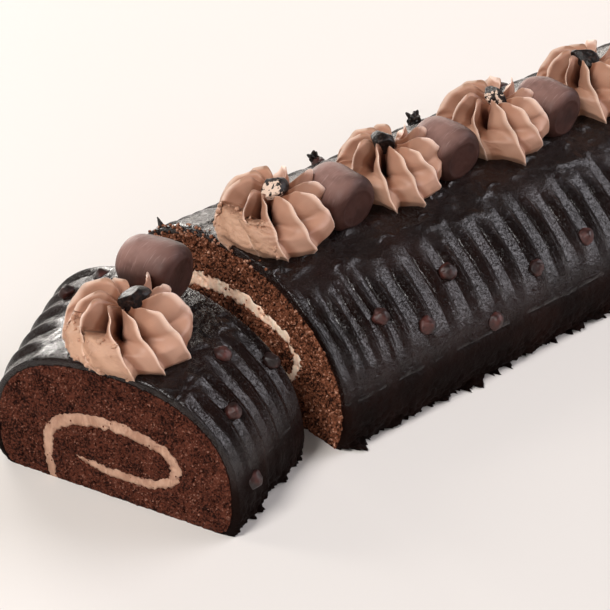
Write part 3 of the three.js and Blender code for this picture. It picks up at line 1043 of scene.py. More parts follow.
def strew(bench, shape, density, seed):
    """Points at random on the faces, density of them to the square metre."""
    values = {"Mesh": shape, "Density": density, "Seed": seed}
    return bench.node("GeometryNodeDistributePointsOnFaces", {"distribute_method": "RANDOM"}, values)


def copies(bench, points, shape, scale, turns=None):
    """A real copy of the shape on every point."""
    values = {"Points": points, "Instance": shape, "Scale": scale}
    if turns is not None:
        values["Rotation"] = bench.node("FunctionNodeEulerToRotation", None, {0: turns})
    return real_mesh(bench, bench.node("GeometryNodeInstanceOnPoints", None, values))


print("strewing ready")

# %% Face and grains of the crumb
# Sizes are in metres, and Grains is their number to the square metre.
CRUMB_INPUTS = {
    "Cell Size": 0.0022, "Depth": 0.0009, "Pit Depth": 0.8,
    "Grains": 500000.0, "Grain Size": 0.00045, "Grain Tone": 0.2, "Edge Grains": 0.0, "Edge Size": 0.0,
    "Seed": 1, "Finish": None, "Grain Finish": None,
}
FULL_TURN = (6.28, 6.28, 6.28)


def crumb_face(bench, given, cut):
    """Moves the face in and out, and keeps how high each point stands."""
    spot = bench.shifted(position(bench), given["Seed"] * 0.21)
    frequency = 1.0 / given["Cell Size"]
    cell = bench.cells(frequency, spot)
    chosen = cell.output("Color").parts()[0].ramp(0.35, 0.75)
    pit = cell.fall(0.1, 0.5) * chosen
    rough = bench.noise(frequency * 1.3, 3.0, 0.65, where=spot)
    broad = bench.noise(frequency * 0.28, 2.0, where=spot)
    level = rough * 0.9 + broad * 0.5 - pit * given["Pit Depth"]
    stands = given["Depth"] * (level - 0.62) * cut * 2.0
    outward = kept(bench, "outward", "FLOAT_VECTOR")
    moved = nudge(bench, given["Geometry"], bench.scaled(outward, stands))
    return keep(bench, moved, "crumb", (level - 0.2).at_least(0.0))


def loose_grains(bench, given, face, cut):
    """Longish grains over the cut, more and larger ones near the cream."""
    edge = kept(bench, "edge")
    crowd = edge * given["Edge Grains"] + 1.0
    off_board = position(bench).parts()[2].ramp(0.0008, 0.0014)
    density = given["Grains"] * crowd * cut.ramp(0.5, 0.9) * off_board
    grain = keep(bench, ball(bench, 1), "crumb", 1.0)
    size = bench.random(0.35, 1.0, 7) * (edge * given["Edge Size"] + 1.0)
    longish = bench.vector("MULTIPLY", bench.combine(1.0, 0.8, 0.9), (size * given["Grain Size"]).thrice())
    turns = {0: (0.0, 0.0, 0.0), 1: FULL_TURN, "Seed": 9}
    spin = bench.node("FunctionNodeRandomValue", {"data_type": "FLOAT_VECTOR"}, turns)
    grains = copies(bench, strew(bench, face, density, given["Seed"]), grain, longish, spin)
    return keep(bench, grains, "crumb", bench.random(given["Grain Tone"], 1.1, 4))


# %% Rule of the crumb
def crumb_rule():
    bench, given = new_rule("crumb", CRUMB_INPUTS)
    cut = kept(bench, "cut")
    face = crumb_face(bench, given, cut)
    body = dress(bench, face, given["Finish"])
    grains = dress(bench, loose_grains(bench, given, face, cut), given["Grain Finish"])
    return end_rule(bench, join(bench, body, grains))


CRUMB = crumb_rule()


# %% Sponge and cream of both lengths
ARCH_STEPS, FAR_FOOT_STEPS, NEAR_FOOT_STEPS, HOOK_STEPS = 150, 14, 60, 300
COAT_GAP = 0.15
HOOK_SEEDS, SPONGE_SEED, CREAM_SEED = (11, 15), 3, 8


def on_board(ends, steps):
    """Places along the board between two ends, without the ends."""
    across = np.linspace(*ends, steps)[1:-1]
    return np.stack([across, np.zeros_like(across)], axis=1)


def cut_outlines(cake, s, ragged):
    """The closed outlines of sponge and cream on one cut."""
    t = np.linspace(-1, 1, ARCH_STEPS + 1)
    across, up = arch(cake, np.full_like(t, s), t, COAT_GAP - COAT)
    up[[0, -1]] = 0.0
    sides = hook_sides(cake, s, HOOK_STEPS, ragged, between(HOOK_SEEDS, s))
    inner, outer = sorted(sides, key=lambda side: side[-1, 0])
    near_foot = on_board((inner[-1, 0], across[0]), NEAR_FOOT_STEPS)
    far_foot = on_board((across[-1], outer[-1, 0]), FAR_FOOT_STEPS)
    dome = np.stack([across, up], axis=1)
    hook = np.vstack([outer[::-1], inner])
    return np.vstack([near_foot, dome, far_foot, hook]), hook


def make_filling(cake, spacings, ragged, sponge_look, cream_look):
    sponge_outlines, cream_outlines = zip(*[cut_outlines(cake, s, ragged) for s in (0.0, 1.0)])
    sponge = sliced_body(f"{cake['name']}_crumb", cake, sponge_outlines, spacings, SPONGE_SEED)
    apply_rule(sponge, CRUMB, sponge_look)
    hand_over(sponge, "sponge", f"{cake['name']}_sponge")
    cream = sliced_body(f"{cake['name']}_filling", cake, cream_outlines, spacings, CREAM_SEED)
    apply_rule(cream, CRUMB, cream_look)
    hand_over(cream, "cream", f"{cake['name']}_cream")


make_filling(
    ROLL, spacings=(0.75, 1.3), ragged=1.0,
    sponge_look={
        "Cell Size": 0.0024, "Depth": 0.0019, "Grains": 560000.0, "Grain Size": 0.00078,
        "Edge Grains": 1.5, "Edge Size": 0.7,
        "Seed": 5, "Finish": ROLL_SPONGE_PAINTED_LIGHTER, "Grain Finish": ROLL_SPONGE_PAINTED_LIGHTER,
    },
    cream_look={
        "Cell Size": 0.0020, "Depth": 0.0009, "Grains": 40000.0, "Grain Size": 0.0007,
        "Grain Tone": 0.6, "Edge Grains": 7.0,
        "Seed": 2, "Finish": ROLL_FILLING_PAINTED_LIGHTER, "Grain Finish": ROLL_SPONGE_PAINTED_LIGHTER,
    },
)
make_filling(
    SLICE, spacings=(0.65, 0.9), ragged=0.7,
    sponge_look={
        "Cell Size": 0.0017, "Depth": 0.0011, "Grains": 900000.0, "Grain Size": 0.00055,
        "Pit Depth": 0.35,
        "Seed": 6, "Finish": SLICE_SPONGE, "Grain Finish": SLICE_SPONGE,
    },
    cream_look={
        "Cell Size": 0.0020, "Depth": 0.0006, "Grains": 14000.0, "Grain Size": 0.00045,
        "Grain Tone": 0.5, "Edge Grains": 7.0,
        "Seed": 4, "Finish": SLICE_FILLING, "Grain Finish": SLICE_SPONGE,
    },
)

# %% [markdown]
# ## Piped rosettes
# A star nozzle turned in one swirl leaves ten petals. Each rises slowly to a
# thin crest and drops steeply into the next fold, and the crests bend as the
# hand turns. That is a rule on a round net of spokes and rings, so a tree
# sets every point: the dome gives its radius and height, the petal share
# gives how deep it lies, and the twist turns it. The foot droops onto the
# curve of the cake. Where the nozzle pulled away, the cream is torn.

# %% Net of spokes and rings
PETALS = 10
FALL_SPOKES, RISE_SPOKES = 8, 16
LOWEST = 0.24
RINGS, UNDER_RINGS = 76, 6
UNDER_FROM = 0.9


def petal_places():
    """Places round the rosette, in petals, closer together at each crest."""
    fall = LOWEST * np.arange(FALL_SPOKES) / FALL_SPOKES
    rise = 1 - (1 - LOWEST) * (1 - np.arange(RISE_SPOKES) / RISE_SPOKES) ** 1.5
    return (np.arange(PETALS)[:, None] + np.concatenate([fall, rise])).ravel()


def rosette_net(name, number):
    """A net from the middle, out to 0.9 on top and on to 1.0 underneath."""
    petal = petal_places()
    spokes = len(petal)
    on_top = np.linspace(0, UNDER_FROM, RINGS + 1)[1:]
    out = np.concatenate([on_top, np.linspace(UNDER_FROM, 1.0, UNDER_RINGS + 1)[1:]])
    turn = petal / PETALS - 0.011 * np.sin(petal * 0.6 * math.pi + number * 1.7)
    values = {
        "petal": np.concatenate([[0.5], np.tile(petal, len(out)), [0.5]]),
        "out": np.concatenate([[0.0], np.repeat(out, spokes), [1.01]]),
        "turn": np.concatenate([[0.0], np.tile(turn, len(out)), [0.0]]),
    }
    after = [(j + 1) % spokes for j in range(spokes)]
    faces = [(0, 1 + after[j], 1 + j) for j in range(spokes)]
    for ring in range(len(out) - 1):
        here, there = 1 + ring * spokes, 1 + (ring + 1) * spokes
        faces += [(here + j, here + after[j], there + after[j], there + j) for j in range(spokes)]
    last, foot = 1 + (len(out) - 1) * spokes, 1 + len(out) * spokes
    faces += [(foot, last + j, last + after[j]) for j in range(spokes)]
    return make_piece(name, np.zeros((foot + 1, 3)), faces, values)


print("a rosette has", len(petal_places()), "spokes and", RINGS + UNDER_RINGS, "rings")

# %% Shape of a petal
# Sizes are in metres and turns in degrees. Fullness is 2 for a round dome.
PETAL_INPUTS = {
    "Radius": 0.0181, "Height": 0.0162, "Widest": 0.0036, "Dimple": 0.003, "Groove": 0.76, "Fullness": 2.6,
    "Inner Twist": 12.0, "Outer Twist": 36.0, "Turn": 0.0, "Lean": 0.45, "Lobe Lift": 0.0014,
    "Torn": 0.0, "Torn Side": 195.0,
    "Cake Turn": 0.0, "Across": 0.0, "Cake Half Width": 0.052, "Cake Rise": 0.036,
    "Seed": 1, "Finish": None,
}
# How unlike the petals are, how their tips hang, and how the foot goes under.
OWN_RADIUS, OWN_HEIGHT = 0.12, 0.14
TIP_OUT, TIP_DROP, FOOT_IN, FOOT_DROP = 0.02, 0.0024, 0.2, 0.0012
DEGREE = math.pi / 180
NEARLY_ZERO = 0.0001


def put(bench, shape, places):
    """Moves each point to its own place."""
    return bench.node("GeometryNodeSetPosition", None, {"Geometry": shape, "Position": places})


def dome(given, out):
    """Radius and height of the plain dome."""
    angle = (1.0 - (out / UNDER_FROM).at_most(1.0)) * (math.pi / 2)
    power = 2.0 / given["Fullness"]
    radius = given["Radius"] * angle.maths("COSINE").at_least(NEARLY_ZERO) ** power
    rise = (given["Height"] - given["Widest"]) * angle.maths("SINE").at_least(NEARLY_ZERO) ** power
    return radius, given["Widest"] + rise


def crest_of(phase):
    """1 on the crest and 0 in the fold: a steep fall, then a slow rise."""
    falling = (1.0 - phase / LOWEST).at_least(0.0)
    rising = ((phase - LOWEST) / (1.0 - LOWEST)).at_least(0.0)
    return falling ** 1.3 + rising ** 1.7


def folded(given, out, crest, own, patch):
    """Radius and height of the petals, which own makes a little unlike."""
    radius, height = dome(given, out)
    depth = given["Groove"] * out.ramp(0.0, 0.16) * out.fall(0.6, 0.76, 0.14) * (1.0 - patch)
    base = given["Widest"] * 0.8
    radius = radius * (1.0 - depth * (1.0 - crest)) * (1.0 + (own - 0.5) * crest * OWN_RADIUS)
    sunk = 1.0 - depth * 0.95 * (1.0 - crest)
    height = base + (height - base) * sunk * (1.0 + (own - 0.5) * crest * OWN_HEIGHT)
    height = height - given["Dimple"] * (1.0 - (radius / given["Radius"]).ramp(0.0, 0.5))
    height = height + crest * out.ramp(0.08, 0.24) * out.fall(0.4, 0.6) * given["Lobe Lift"]
    tip = crest * crest * crest * out.ramp(0.76, 0.9)
    under = ((out - UNDER_FROM) / (1.0 - UNDER_FROM)).at_least(0.0).at_most(1.0)
    radius = radius * (1.0 + tip * TIP_OUT) * (1.0 - under * FOOT_IN)
    height = height - tip * own * TIP_DROP - under * (given["Widest"] + FOOT_DROP)
    return radius, height


def swirled(given, share, out, crest):
    """The turn of each point, in radians."""
    twist = given["Inner Twist"] * out.ramp(0.0, 0.5) + given["Outer Twist"] * out.ramp(0.45, 1.0)
    bent = given["Lean"] * (360.0 / PETALS) * (crest * crest) * out.ramp(0.1, 0.4) * out.fall(0.6, 0.85, 0.2)
    return (share * 360.0 + twist + bent + given["Turn"]) * DEGREE


def droop(given, x, y):
    """How far the curve of the cake has dropped under each point."""
    slant = given["Cake Turn"] * DEGREE
    across = y * slant.maths("COSINE") - x * slant.maths("SINE") + given["Across"]
    aside = (across / given["Cake Half Width"]).at_most(0.99)
    return given["Cake Rise"] * (1.0 - (1.0 - aside * aside).maths("SQRT"))


print("petals are", PETAL_INPUTS["Radius"] / MM, "mm long")

# %% [markdown]
# The torn patch is low down on one side. There the folds close up, the
# surface is pulled in and out, and crumbs of cream hang on, most of them
# along the patch's border.

# %% The torn patch
# In metres: how far the patch is ripped, holed and sunk, and its border raised.
RIPPED, HOLED, SUNK, RAISED = 0.0026, 0.0004, 0.0006, 0.0003
# Crumbs of cream to the square metre, and their smallest and largest radius.
PATCH_CRUMBS, BORDER_CRUMBS, CRUMB_RADIUS = 25000.0, 500000.0, (0.0003, 0.0009)
UNEVEN = 0.0016


def torn_patch(bench, given, share, out):
    """1 where the cream is torn."""
    facing = (share * 2.0 * math.pi + (given["Turn"] - given["Torn Side"] + 45.0) * DEGREE).maths("COSINE")
    border = bench.noise(9.0, 3.0, 0.7, where=bench.combine(share * 6.0, out * 3.0, given["Seed"])) - 0.5
    return given["Torn"] * (facing + border * 0.5).ramp(0.7, 0.9) * (out + border * 0.16).ramp(0.54, 0.63)


def tear(bench, spot, seeded, patch):
    """How far each point is pulled, in and out of the dome."""
    ripped = bench.noise(330.0, 2.0, 0.6, where=seeded) - 0.5
    hole = bench.cells(420.0, seeded).fall(0.0, 0.35)
    lip = patch * (1.0 - patch) * 4.0
    pull = patch * (ripped * RIPPED - hole * HOLED - SUNK) + lip * RAISED
    return bench.scaled(bench.vector("NORMALIZE", spot), pull)


def cream_crumbs(bench, given, shape):
    """Broken bits of cream on the torn patch."""
    rough = kept(bench, "torn")
    density = (rough - 0.3).ramp(0.0, 0.3) * (rough * (1.0 - rough) * BORDER_CRUMBS + PATCH_CRUMBS)
    size = bench.random(*CRUMB_RADIUS, 5)
    flat = bench.combine(size, size * 0.8, size)
    crumbs = copies(bench, strew(bench, shape, density, given["Seed"]), ball(bench, 2), flat)
    broken = nudge(bench, crumbs, bench.shake(UNEVEN, 1100.0, 1.0))
    return keep(bench, keep(bench, broken, "crest", 0.7), "torn", 0.6)


# %% Rule of the petals
def petal_rule():
    bench, given = new_rule("petals", PETAL_INPUTS)
    out, share, petal = kept(bench, "out"), kept(bench, "turn"), kept(bench, "petal")
    phase = (petal + NEARLY_ZERO).maths("FRACT")
    crest = crest_of(phase)
    number = (petal + 0.5).maths("FLOOR").maths("MODULO", PETALS)
    own = bench.own_share(number + given["Seed"] * 17.0)
    patch = torn_patch(bench, given, share, out)
    radius, height = folded(given, out, crest, own, patch)
    turn = swirled(given, share, out, crest)
    x, y = radius * turn.maths("COSINE"), radius * turn.maths("SINE")
    spot = bench.combine(x, y, height - droop(given, x, y) * out.ramp(0.4, 0.92))
    seeded = bench.shifted(spot, given["Seed"] * 0.31)
    soft = bench.vector("ADD", spot, bench.shake(UNEVEN, 140.0, 1.0, seeded))
    moved = put(bench, given["Geometry"], bench.vector("ADD", soft, tear(bench, spot, seeded, patch)))
    # Painted shade: the crest value kept for the finish sinks below 0 in the pockets beside each crest,
    # where the finish darkens the cream.
    slot = phase.ramp(0.02, 0.16) * phase.fall(0.22, 0.46)
    fold = slot * 0.8 + (1.0 - crest) * out.ramp(0.2, 0.45, 0.5, 0.0)
    pocket_shade = fold * out.ramp(0.04, 0.12) * out.fall(0.5, 0.74)
    crested = keep(bench, moved, "crest", crest * out.ramp(0.1, 0.3) - pocket_shade)
    done = keep(bench, crested, "torn", patch)
    both = join(bench, done, cream_crumbs(bench, given, done))
    return end_rule(bench, dress(bench, real_mesh(bench, both), given["Finish"]))


PETAL_RULE = petal_rule()

# %% [markdown]
# Each rosette stands on the crown at its serving, and a candy follows it.
# Those on the slice are turned with it. Two rosettes were torn on the side
# that faces the cut, and the others hardly.

# %% Where the toppings stand
SERVINGS = 5
SERVING = dict(first=15.5, pitch=46.6, candy=20.8)
FIRST_TURN, NEXT_TURN = 13.0, 61
# Each rosette has its place, its look, and how far its nib is off the middle.
rosettes = [(dict(cake=SLICE, s=0.27, across=-1.8, size=1.0), dict(turn=4.0, torn=0.9), (2.0, -1.5))]
candies = [dict(cake=SLICE, s=0.8, across=0.5, turn=3.0, tilt=5.0, sunk=0.5)]
for i in range(SERVINGS):
    along, side = SERVING["first"] + i * SERVING["pitch"], i % 2
    rosettes.append((
        dict(cake=ROLL, s=along / ROLL["length"], across=-2.5, size=1 - 0.02 * side),
        dict(turn=FIRST_TURN + NEXT_TURN * i, torn=1.0 if i == 0 else 0.15),
        (-1.8 * side, 1.5 * side),
    ))
    candies.append(dict(
        cake=ROLL, s=(along + SERVING["candy"]) / ROLL["length"], across=-6.2 + side,
        turn=2.0 - 4 * side, tilt=6.0, sunk=3.0,
    ))
print(len(rosettes), "rosettes and", len(candies), "candies")


# %% Pipe the rosettes
def on_crown(cake, s, across, up):
    """A place up above the level of the crown."""
    return place(cake, s, across, section_at(cake, s)["height"] + up)


def pipe_rosette(number, cake, s, across, size, turn, torn):
    section = section_at(cake, s)
    piece = rosette_net(f"rosette_{number}_piped", number)
    apply_rule(piece, PETAL_RULE, {
        "Turn": turn, "Torn": torn, "Cake Turn": between(cake["turn"], s), "Across": across * MM,
        "Cake Half Width": section["half"] * MM, "Cake Rise": (section["height"] - section["wall"]) * MM,
        "Seed": number, "Finish": PIPED,
    })
    face_outwards(piece)
    centre = on_crown(cake, s, across, 0.0) * MM
    piece.data.transform(Matrix.Translation(centre) @ Matrix.Scale(size, 4))
    hand_over(piece, "rosette", f"rosette_{number}")


for number, (at, look, _) in enumerate(rosettes, start=1):
    pipe_rosette(number, **at, **look)

# %% [markdown]
# ## Candies
# Each candy is a round barrel with a broad cap and soft shoulders, lying
# across the cake and pressed a little into the ganache. A turned profile is
# right for it, and then a slow dent or two, because soft chocolate never
# stays true. A low ring marks the cap. The bloom sits on what faces up and
# to the left, towards the light, and is partly a painted sheen.

# %% Turn a candy
CANDY = dict(radius=9.2, length=18.6, around=72, steps=90, dent=0.045, ripple=0.006)
# Greyish bloom and painted sheen: paler where the candy faces this way, towards the light.
BLOOM_AND_SHEEN = dict(way=np.array([-0.42, 0.12, 0.9]), gain=1.9, start=0.85)
# Radius and place along, in millimetres, from the middle of one end to the other.
CANDY_PROFILE = np.array([
    (0.0, 0.12), (3.4, 0.1), (5.2, 0.06), (5.9, -0.04), (6.6, 0.16), (7.6, 0.55), (8.5, 1.35),
    (9.05, 2.6), (9.2, 4.6), (9.1, 8.4), (8.75, 12.0), (8.2, 14.6), (7.2, 16.9), (5.6, 18.2),
    (3.0, 18.6), (0.0, 18.6),
])


def candy_points(number):
    """Rings round y, then the middle of the near and of the far end."""
    profile = curve_through(CANDY_PROFILE, CANDY["steps"])
    radius = np.maximum(profile[1:-1, 0], 0.0)[:, None]
    along = profile[1:-1, 1] - CANDY["length"] / 2
    angle = np.arange(CANDY["around"]) * 2 * math.pi / CANDY["around"]
    sides = radius * np.sin(angle), np.repeat(along[:, None], len(angle), axis=1), radius * np.cos(angle)
    rings = np.stack(sides, axis=-1).reshape(-1, 3)
    points = np.vstack([rings, (0.0, -CANDY["length"] / 2, 0.0), (0.0, CANDY["length"] / 2, 0.0)])
    slow, fine = Vector((number * 9.0, 0.0, 0.0)), Vector((0.0, number * 5.0, 0.0))
    dents = np.array([noise.noise(Vector(point) * 0.14 + slow) for point in points])
    ripples = np.array([noise.noise(Vector(point) * 0.55 + fine) for point in points])
    return points * (1 + CANDY["dent"] * dents + CANDY["ripple"] * ripples)[:, None]


def candy_faces(rings):
    """Bands between the rings, and a fan at each end."""
    around = CANDY["around"]
    after = [(j + 1) % around for j in range(around)]
    faces = []
    for ring in range(rings - 1):
        here, there = ring * around, (ring + 1) * around
        faces += [(here + j, here + after[j], there + after[j], there + j) for j in range(around)]
    last, near, far = (rings - 1) * around, rings * around, rings * around + 1
    faces += [(near, after[j], j) for j in range(around)]
    return faces + [(far, last + j, last + after[j]) for j in range(around)]


print("a candy is", 2 * CANDY["radius"], "mm across and", CANDY["length"], "mm long")


# %% Lay the candies
def lay_candy(number, cake, s, across, turn, tilt, sunk):
    facing = math.radians(between(cake["turn"], s) + turn)
    lay = Matrix.Rotation(facing, 3, "Z") @ Matrix.Rotation(math.radians(tilt), 3, "X")
    centre = on_crown(cake, s, across, CANDY["radius"] - sunk)
    points = candy_points(number) @ np.array(lay).T + centre
    # The painted sheen follows how much each point faces the light.
    lit = (points - centre) @ BLOOM_AND_SHEEN["way"] / CANDY["radius"]
    bloom = np.clip(BLOOM_AND_SHEEN["gain"] * lit - BLOOM_AND_SHEEN["start"], 0, 1)
    faces = candy_faces(CANDY["steps"] - 1)
    piece = make_piece(f"candy_{number}_chocolate", points, faces, {"bloom": bloom})
    face_outwards(piece)
    piece.data.shade_smooth()
    piece.data.materials.append(CANDY_CHOCOLATE)
    hand_over(piece, "candy", f"candy_{number}")


for number, candy in enumerate(candies, start=1):
    lay_candy(number, **candy)

# %% [markdown]
# ## Nibs
# Each rosette is topped with a broken bit of dark cocoa. It breaks along flat
# faces, so a ball is cut back to ten planes set at random, and a little
# crumbly roughness goes over that. Two nibs carry dust on one side.

# %% Break the nibs
NIB = dict(length=10.0, width=7.4, height=6.6, up=14.3, turn=30.0, seed=40)
BREAKS = dict(planes=10, nearest=0.62, furthest=0.95, crumbly=0.022, limit=1.08)
DUSTED = {2: 0.8, 4: 0.6}
DUST_WAY, DUST_GAIN = Vector((-0.9, -0.3, 0.1)), 1.6


def smooth_piece(name, work, finish):
    """A smooth piece from a bmesh, with one finish."""
    mesh = bpy.data.meshes.new(name)
    work.to_mesh(mesh)
    work.free()
    mesh.shade_smooth()
    mesh.materials.append(finish)
    piece = link_object(name, mesh)
    face_outwards(piece)
    return piece


def broken_ball(number):
    """A ball cut back to planes, in this order of draws."""
    draw = random.Random(NIB["seed"] + number)
    planes = []
    for _ in range(BREAKS["planes"]):
        way = Vector([draw.gauss(0.0, 1.0) for _ in range(3)]).normalized()
        planes.append((way, draw.uniform(BREAKS["nearest"], BREAKS["furthest"])))
    work = bmesh.new()
    bmesh.ops.create_icosphere(work, subdivisions=5, radius=1.0)
    for vertex in work.verts:
        way = vertex.co.normalized()
        cut = min(far / max(way.dot(plane), 0.01) for plane, far in planes)
        crumbs = noise.fractal(way * 3.2 + Vector((number * 3.7, 1.3, 0.0)), 1.0, 2.0, 4)
        vertex.co = way * min(cut + BREAKS["crumbly"] * crumbs, BREAKS["limit"])
    return work


def dust_on(point, centre, amount):
    """Dust on the side that looks the dust's way."""
    towards = Vector(point - centre).normalized().dot(DUST_WAY)
    return amount * min(max(DUST_GAIN * towards, 0.0), 1.0)


def break_nib(number, cake, s, across, size, nib):
    piece = smooth_piece(f"nib_{number}_cocoa", broken_ball(number), NIB_FINISH)
    centre = on_crown(cake, s, across, NIB["up"] * size) + np.array([*nib, 0.0])
    spin = Matrix.Rotation(math.radians(NIB["turn"] * (number - 1)), 4, "Z")
    halves = [NIB[side] / 2 * MM for side in ("length", "width", "height")]
    piece.data.transform(Matrix.Translation(centre * MM) @ spin @ Matrix.Diagonal((*halves, 1.0)))
    middle, amount = Vector(centre * MM), DUSTED.get(number, 0.0)
    store(piece.data, "dust", [dust_on(vertex.co, middle, amount) for vertex in piece.data.vertices])
    hand_over(piece, "nib", f"nib_{number}")


for number, (at, _, nib) in enumerate(rosettes, start=1):
    break_nib(number, **at, nib=nib)

# %% [markdown]
# ## Chips
# Small chocolate drops stuck in the ganache while it was wet. Their places
# are points on the arch, a few listed and the rest by a rule. A tree
# puts one uneven drop on each point, turned to the slope.

# %% Where the chips lie
class Draw:
    """The draws that placed the chips in the frame: each gives a share of 1."""

    FACTOR, STEP, SPAN = 1103515245, 12345, 2147483648

    def __init__(self, seed):
        self.state = seed * 7919 + 13

    def __call__(self):
        self.state = (self.state * self.FACTOR + self.STEP) % self.SPAN
        return self.state / self.SPAN


# Along and round, as shares of the length and places on the arch.
roll_chips = [
    (0.217, -0.41), (0.35, -0.54), (0.15, -0.55), (0.258, -0.66), (0.092, -0.45),
    (0.033, 0.5), (0.283, 0.38), (0.66, 0.42),
]
slice_chips = [
    (0.292, -0.44), (0.225, -0.73), (0.93, -0.44), (0.608, -0.28), (0.742, 0.35), (0.88, 0.22),
]
RULED_CHIPS, CHIP_SEED = 7, 23
draw = Draw(CHIP_SEED)
for i in range(RULED_CHIPS):
    roll_chips.append((0.45 + 0.075 * i, -(0.4 + 0.3 * draw())))
    roll_chips.append((0.12 + 0.12 * i, 0.5 + 0.22 * draw()))
print(len(roll_chips), "chips on the roll and", len(slice_chips), "on the slice")


# %% Rule of the chips
def chip_rule():
    bench, given = new_rule("chips", {"Chip Size": 0.0026, "Flatness": 0.85, "Seed": 1, "Finish": None})
    x, y, z = position(bench).parts()
    pointed = 1.0 - z.ramp(0.1, 1.0) * 0.35
    drop = put(bench, ball(bench, 4), bench.combine(x * pointed, y * pointed, z * given["Flatness"]))
    scale = (bench.random(0.8, 1.12, given["Seed"]) * given["Chip Size"]).thrice()
    chips = copies(bench, given["Geometry"], drop, scale, kept(bench, "tilt", "FLOAT_VECTOR"))
    uneven = nudge(bench, chips, bench.shake(UNEVEN, 330.0, 2.0))
    return end_rule(bench, dress(bench, real_mesh(bench, uneven), given["Finish"]))


CHIPS = chip_rule()


# %% Drop the chips
CHIP_SINK, STEP_ROUND = -0.3, 0.01


def drop_chips(cake, chips, seed):
    """Chips lie along the slope, which a second point a little further round gives."""
    s, t = (np.array(part) for part in zip(*chips))
    across, up = arch(cake, s, t, CHIP_SINK)
    next_across, next_up = arch(cake, s, t + STEP_ROUND, CHIP_SINK)
    tilt = np.arctan2(next_up - up, next_across - across)
    turn = np.radians(between(cake["turn"], s))
    angles = np.stack([tilt, np.zeros_like(tilt), turn], axis=1)
    piece = make_piece(f"{cake['name']}_chips", place(cake, s, across, up), [], {"tilt": angles})
    apply_rule(piece, CHIPS, {"Seed": seed, "Finish": CHIP_CHOCOLATE})
    hand_over(piece, "candy")


drop_chips(ROLL, roll_chips, seed=3)
drop_chips(SLICE, slice_chips, seed=5)

# %% [markdown]
# ## Shavings and a shard
# A few bits were pressed on roughly: three knots of chocolate shavings behind
# the candies, and one thin shard of ganache that the knife lifted at the
# roll's cut. Each knot is a small ball pulled out into spikes where its
# points look the way of a spike.

# %% Lay small scraps
SCRAP_CRUMB = 0.9


def spiky(centre, size, spikes, seed, sharp, detail):
    """One ball: spikes are (way, length) pairs. Lengths are in millimetres."""
    work = bmesh.new()
    bmesh.ops.create_icosphere(work, subdivisions=detail, radius=1.0)
    for vertex in work.verts:
        way = vertex.co.normalized()
        reach = size * (0.9 + 0.35 * noise.noise(way * 2.2 + Vector((seed, 0.0, 0.0))))
        for spike, length in spikes:
            reach += length * max(way.dot(spike), 0.0) ** sharp
        vertex.co = (Vector(centre) + way * reach) * MM
    return work


def lay_scraps(name, cake, scraps, finish, slot, detail=5):
    """scraps: (s, t, lift, shape), where shape is what spiky is told."""
    whole = bmesh.new()
    for s, t, lift, shape in scraps:
        across, up = arch(cake, np.array([s]), np.array([t]), lift)
        part = spiky(place(cake, s, across[0], up[0]), detail=detail, **shape)
        mesh = bpy.data.meshes.new("part")
        part.to_mesh(mesh)
        part.free()
        whole.from_mesh(mesh)
        bpy.data.meshes.remove(mesh)
    piece = smooth_piece(name, whole, finish)
    store(piece.data, "crumb", [SCRAP_CRUMB] * len(piece.data.vertices))
    hand_over(piece, slot)


# %% Roll the shavings
def knot(seed, count):
    """Spikes that point up and aside at random."""
    draw = random.Random(seed)
    ways = [(draw.uniform(-1, 1), draw.uniform(-1, 1), draw.uniform(0.1, 1)) for _ in range(count)]
    return [(Vector(way).normalized(), draw.uniform(0.8, 1.9)) for way in ways]


shavings = [
    (0.283, 0.39, 1.2, dict(size=1.9, spikes=knot(11, 7), seed=7.0, sharp=24)),
    (0.467, 0.37, 0.5, dict(size=2.5, spikes=knot(5, 7), seed=2.0, sharp=36)),
    (0.625, 0.37, 0.5, dict(size=2.3, spikes=knot(8, 6), seed=5.0, sharp=36)),
]
lay_scraps("roll_shavings", ROLL, shavings, NIB_FINISH, "nib")

# %% [markdown]
# The shard is a three-cornered flake that stands on the rim: two triangles a
# little apart, cut finer and shaken so that no side stays straight.

# %% Stand the shard on the rim
SHARD = dict(s=0.004, t=0.36, thick=0.5, corners=[(0.9, -1.0), (-2.6, 0.6), (1.3, 2.9)])
SHARD_CUTS, SHARD_SHAKE = 7, 0.3
NOISE_APART = 20.0


def shaken(point):
    """Noise read at three places far apart: a push that is the same in every run."""
    return Vector([noise.noise(point + Vector((0.0, 0.0, axis * NOISE_APART))) for axis in range(3)])


def stand_shard(name, cake, s, t, thick, corners):
    """corners: (across, up) from the coat's surface at s, t, in millimetres."""
    across, up = arch(cake, np.array([s]), np.array([t]))
    aside, above = np.array(corners).T
    front = place(cake, s, across + aside, up + above)
    faces = [(0, 1, 2), (5, 4, 3), (0, 3, 4, 1), (1, 4, 5, 2), (2, 5, 3, 0)]
    piece = make_piece(name, np.vstack([front, front + (thick, 0.0, 0.0)]), faces, {})
    work = bmesh.new()
    work.from_mesh(piece.data)
    bmesh.ops.subdivide_edges(work, edges=work.edges[:], cuts=SHARD_CUTS, use_grid_fill=True)
    for vertex in work.verts:
        vertex.co += shaken(vertex.co / MM * 0.9) * SHARD_SHAKE * MM
    work.to_mesh(piece.data)
    work.free()
    face_outwards(piece)
    piece.data.materials.append(NIB_FINISH)
    hand_over(piece, "nib")


stand_shard("roll_shard", ROLL, **SHARD)

# %% [markdown]
# The knife also drags pale crumbs onto the rim of the coat, most of them
# near the top, where it went in. One in three lies on top of the coat and
# the rest on the cut edge.

# %% Crumbs on the rim
RIM_CRUMBS = dict(count=72, seed=12, near=0.18, spread=0.13, smallest=0.25, largest=0.75)


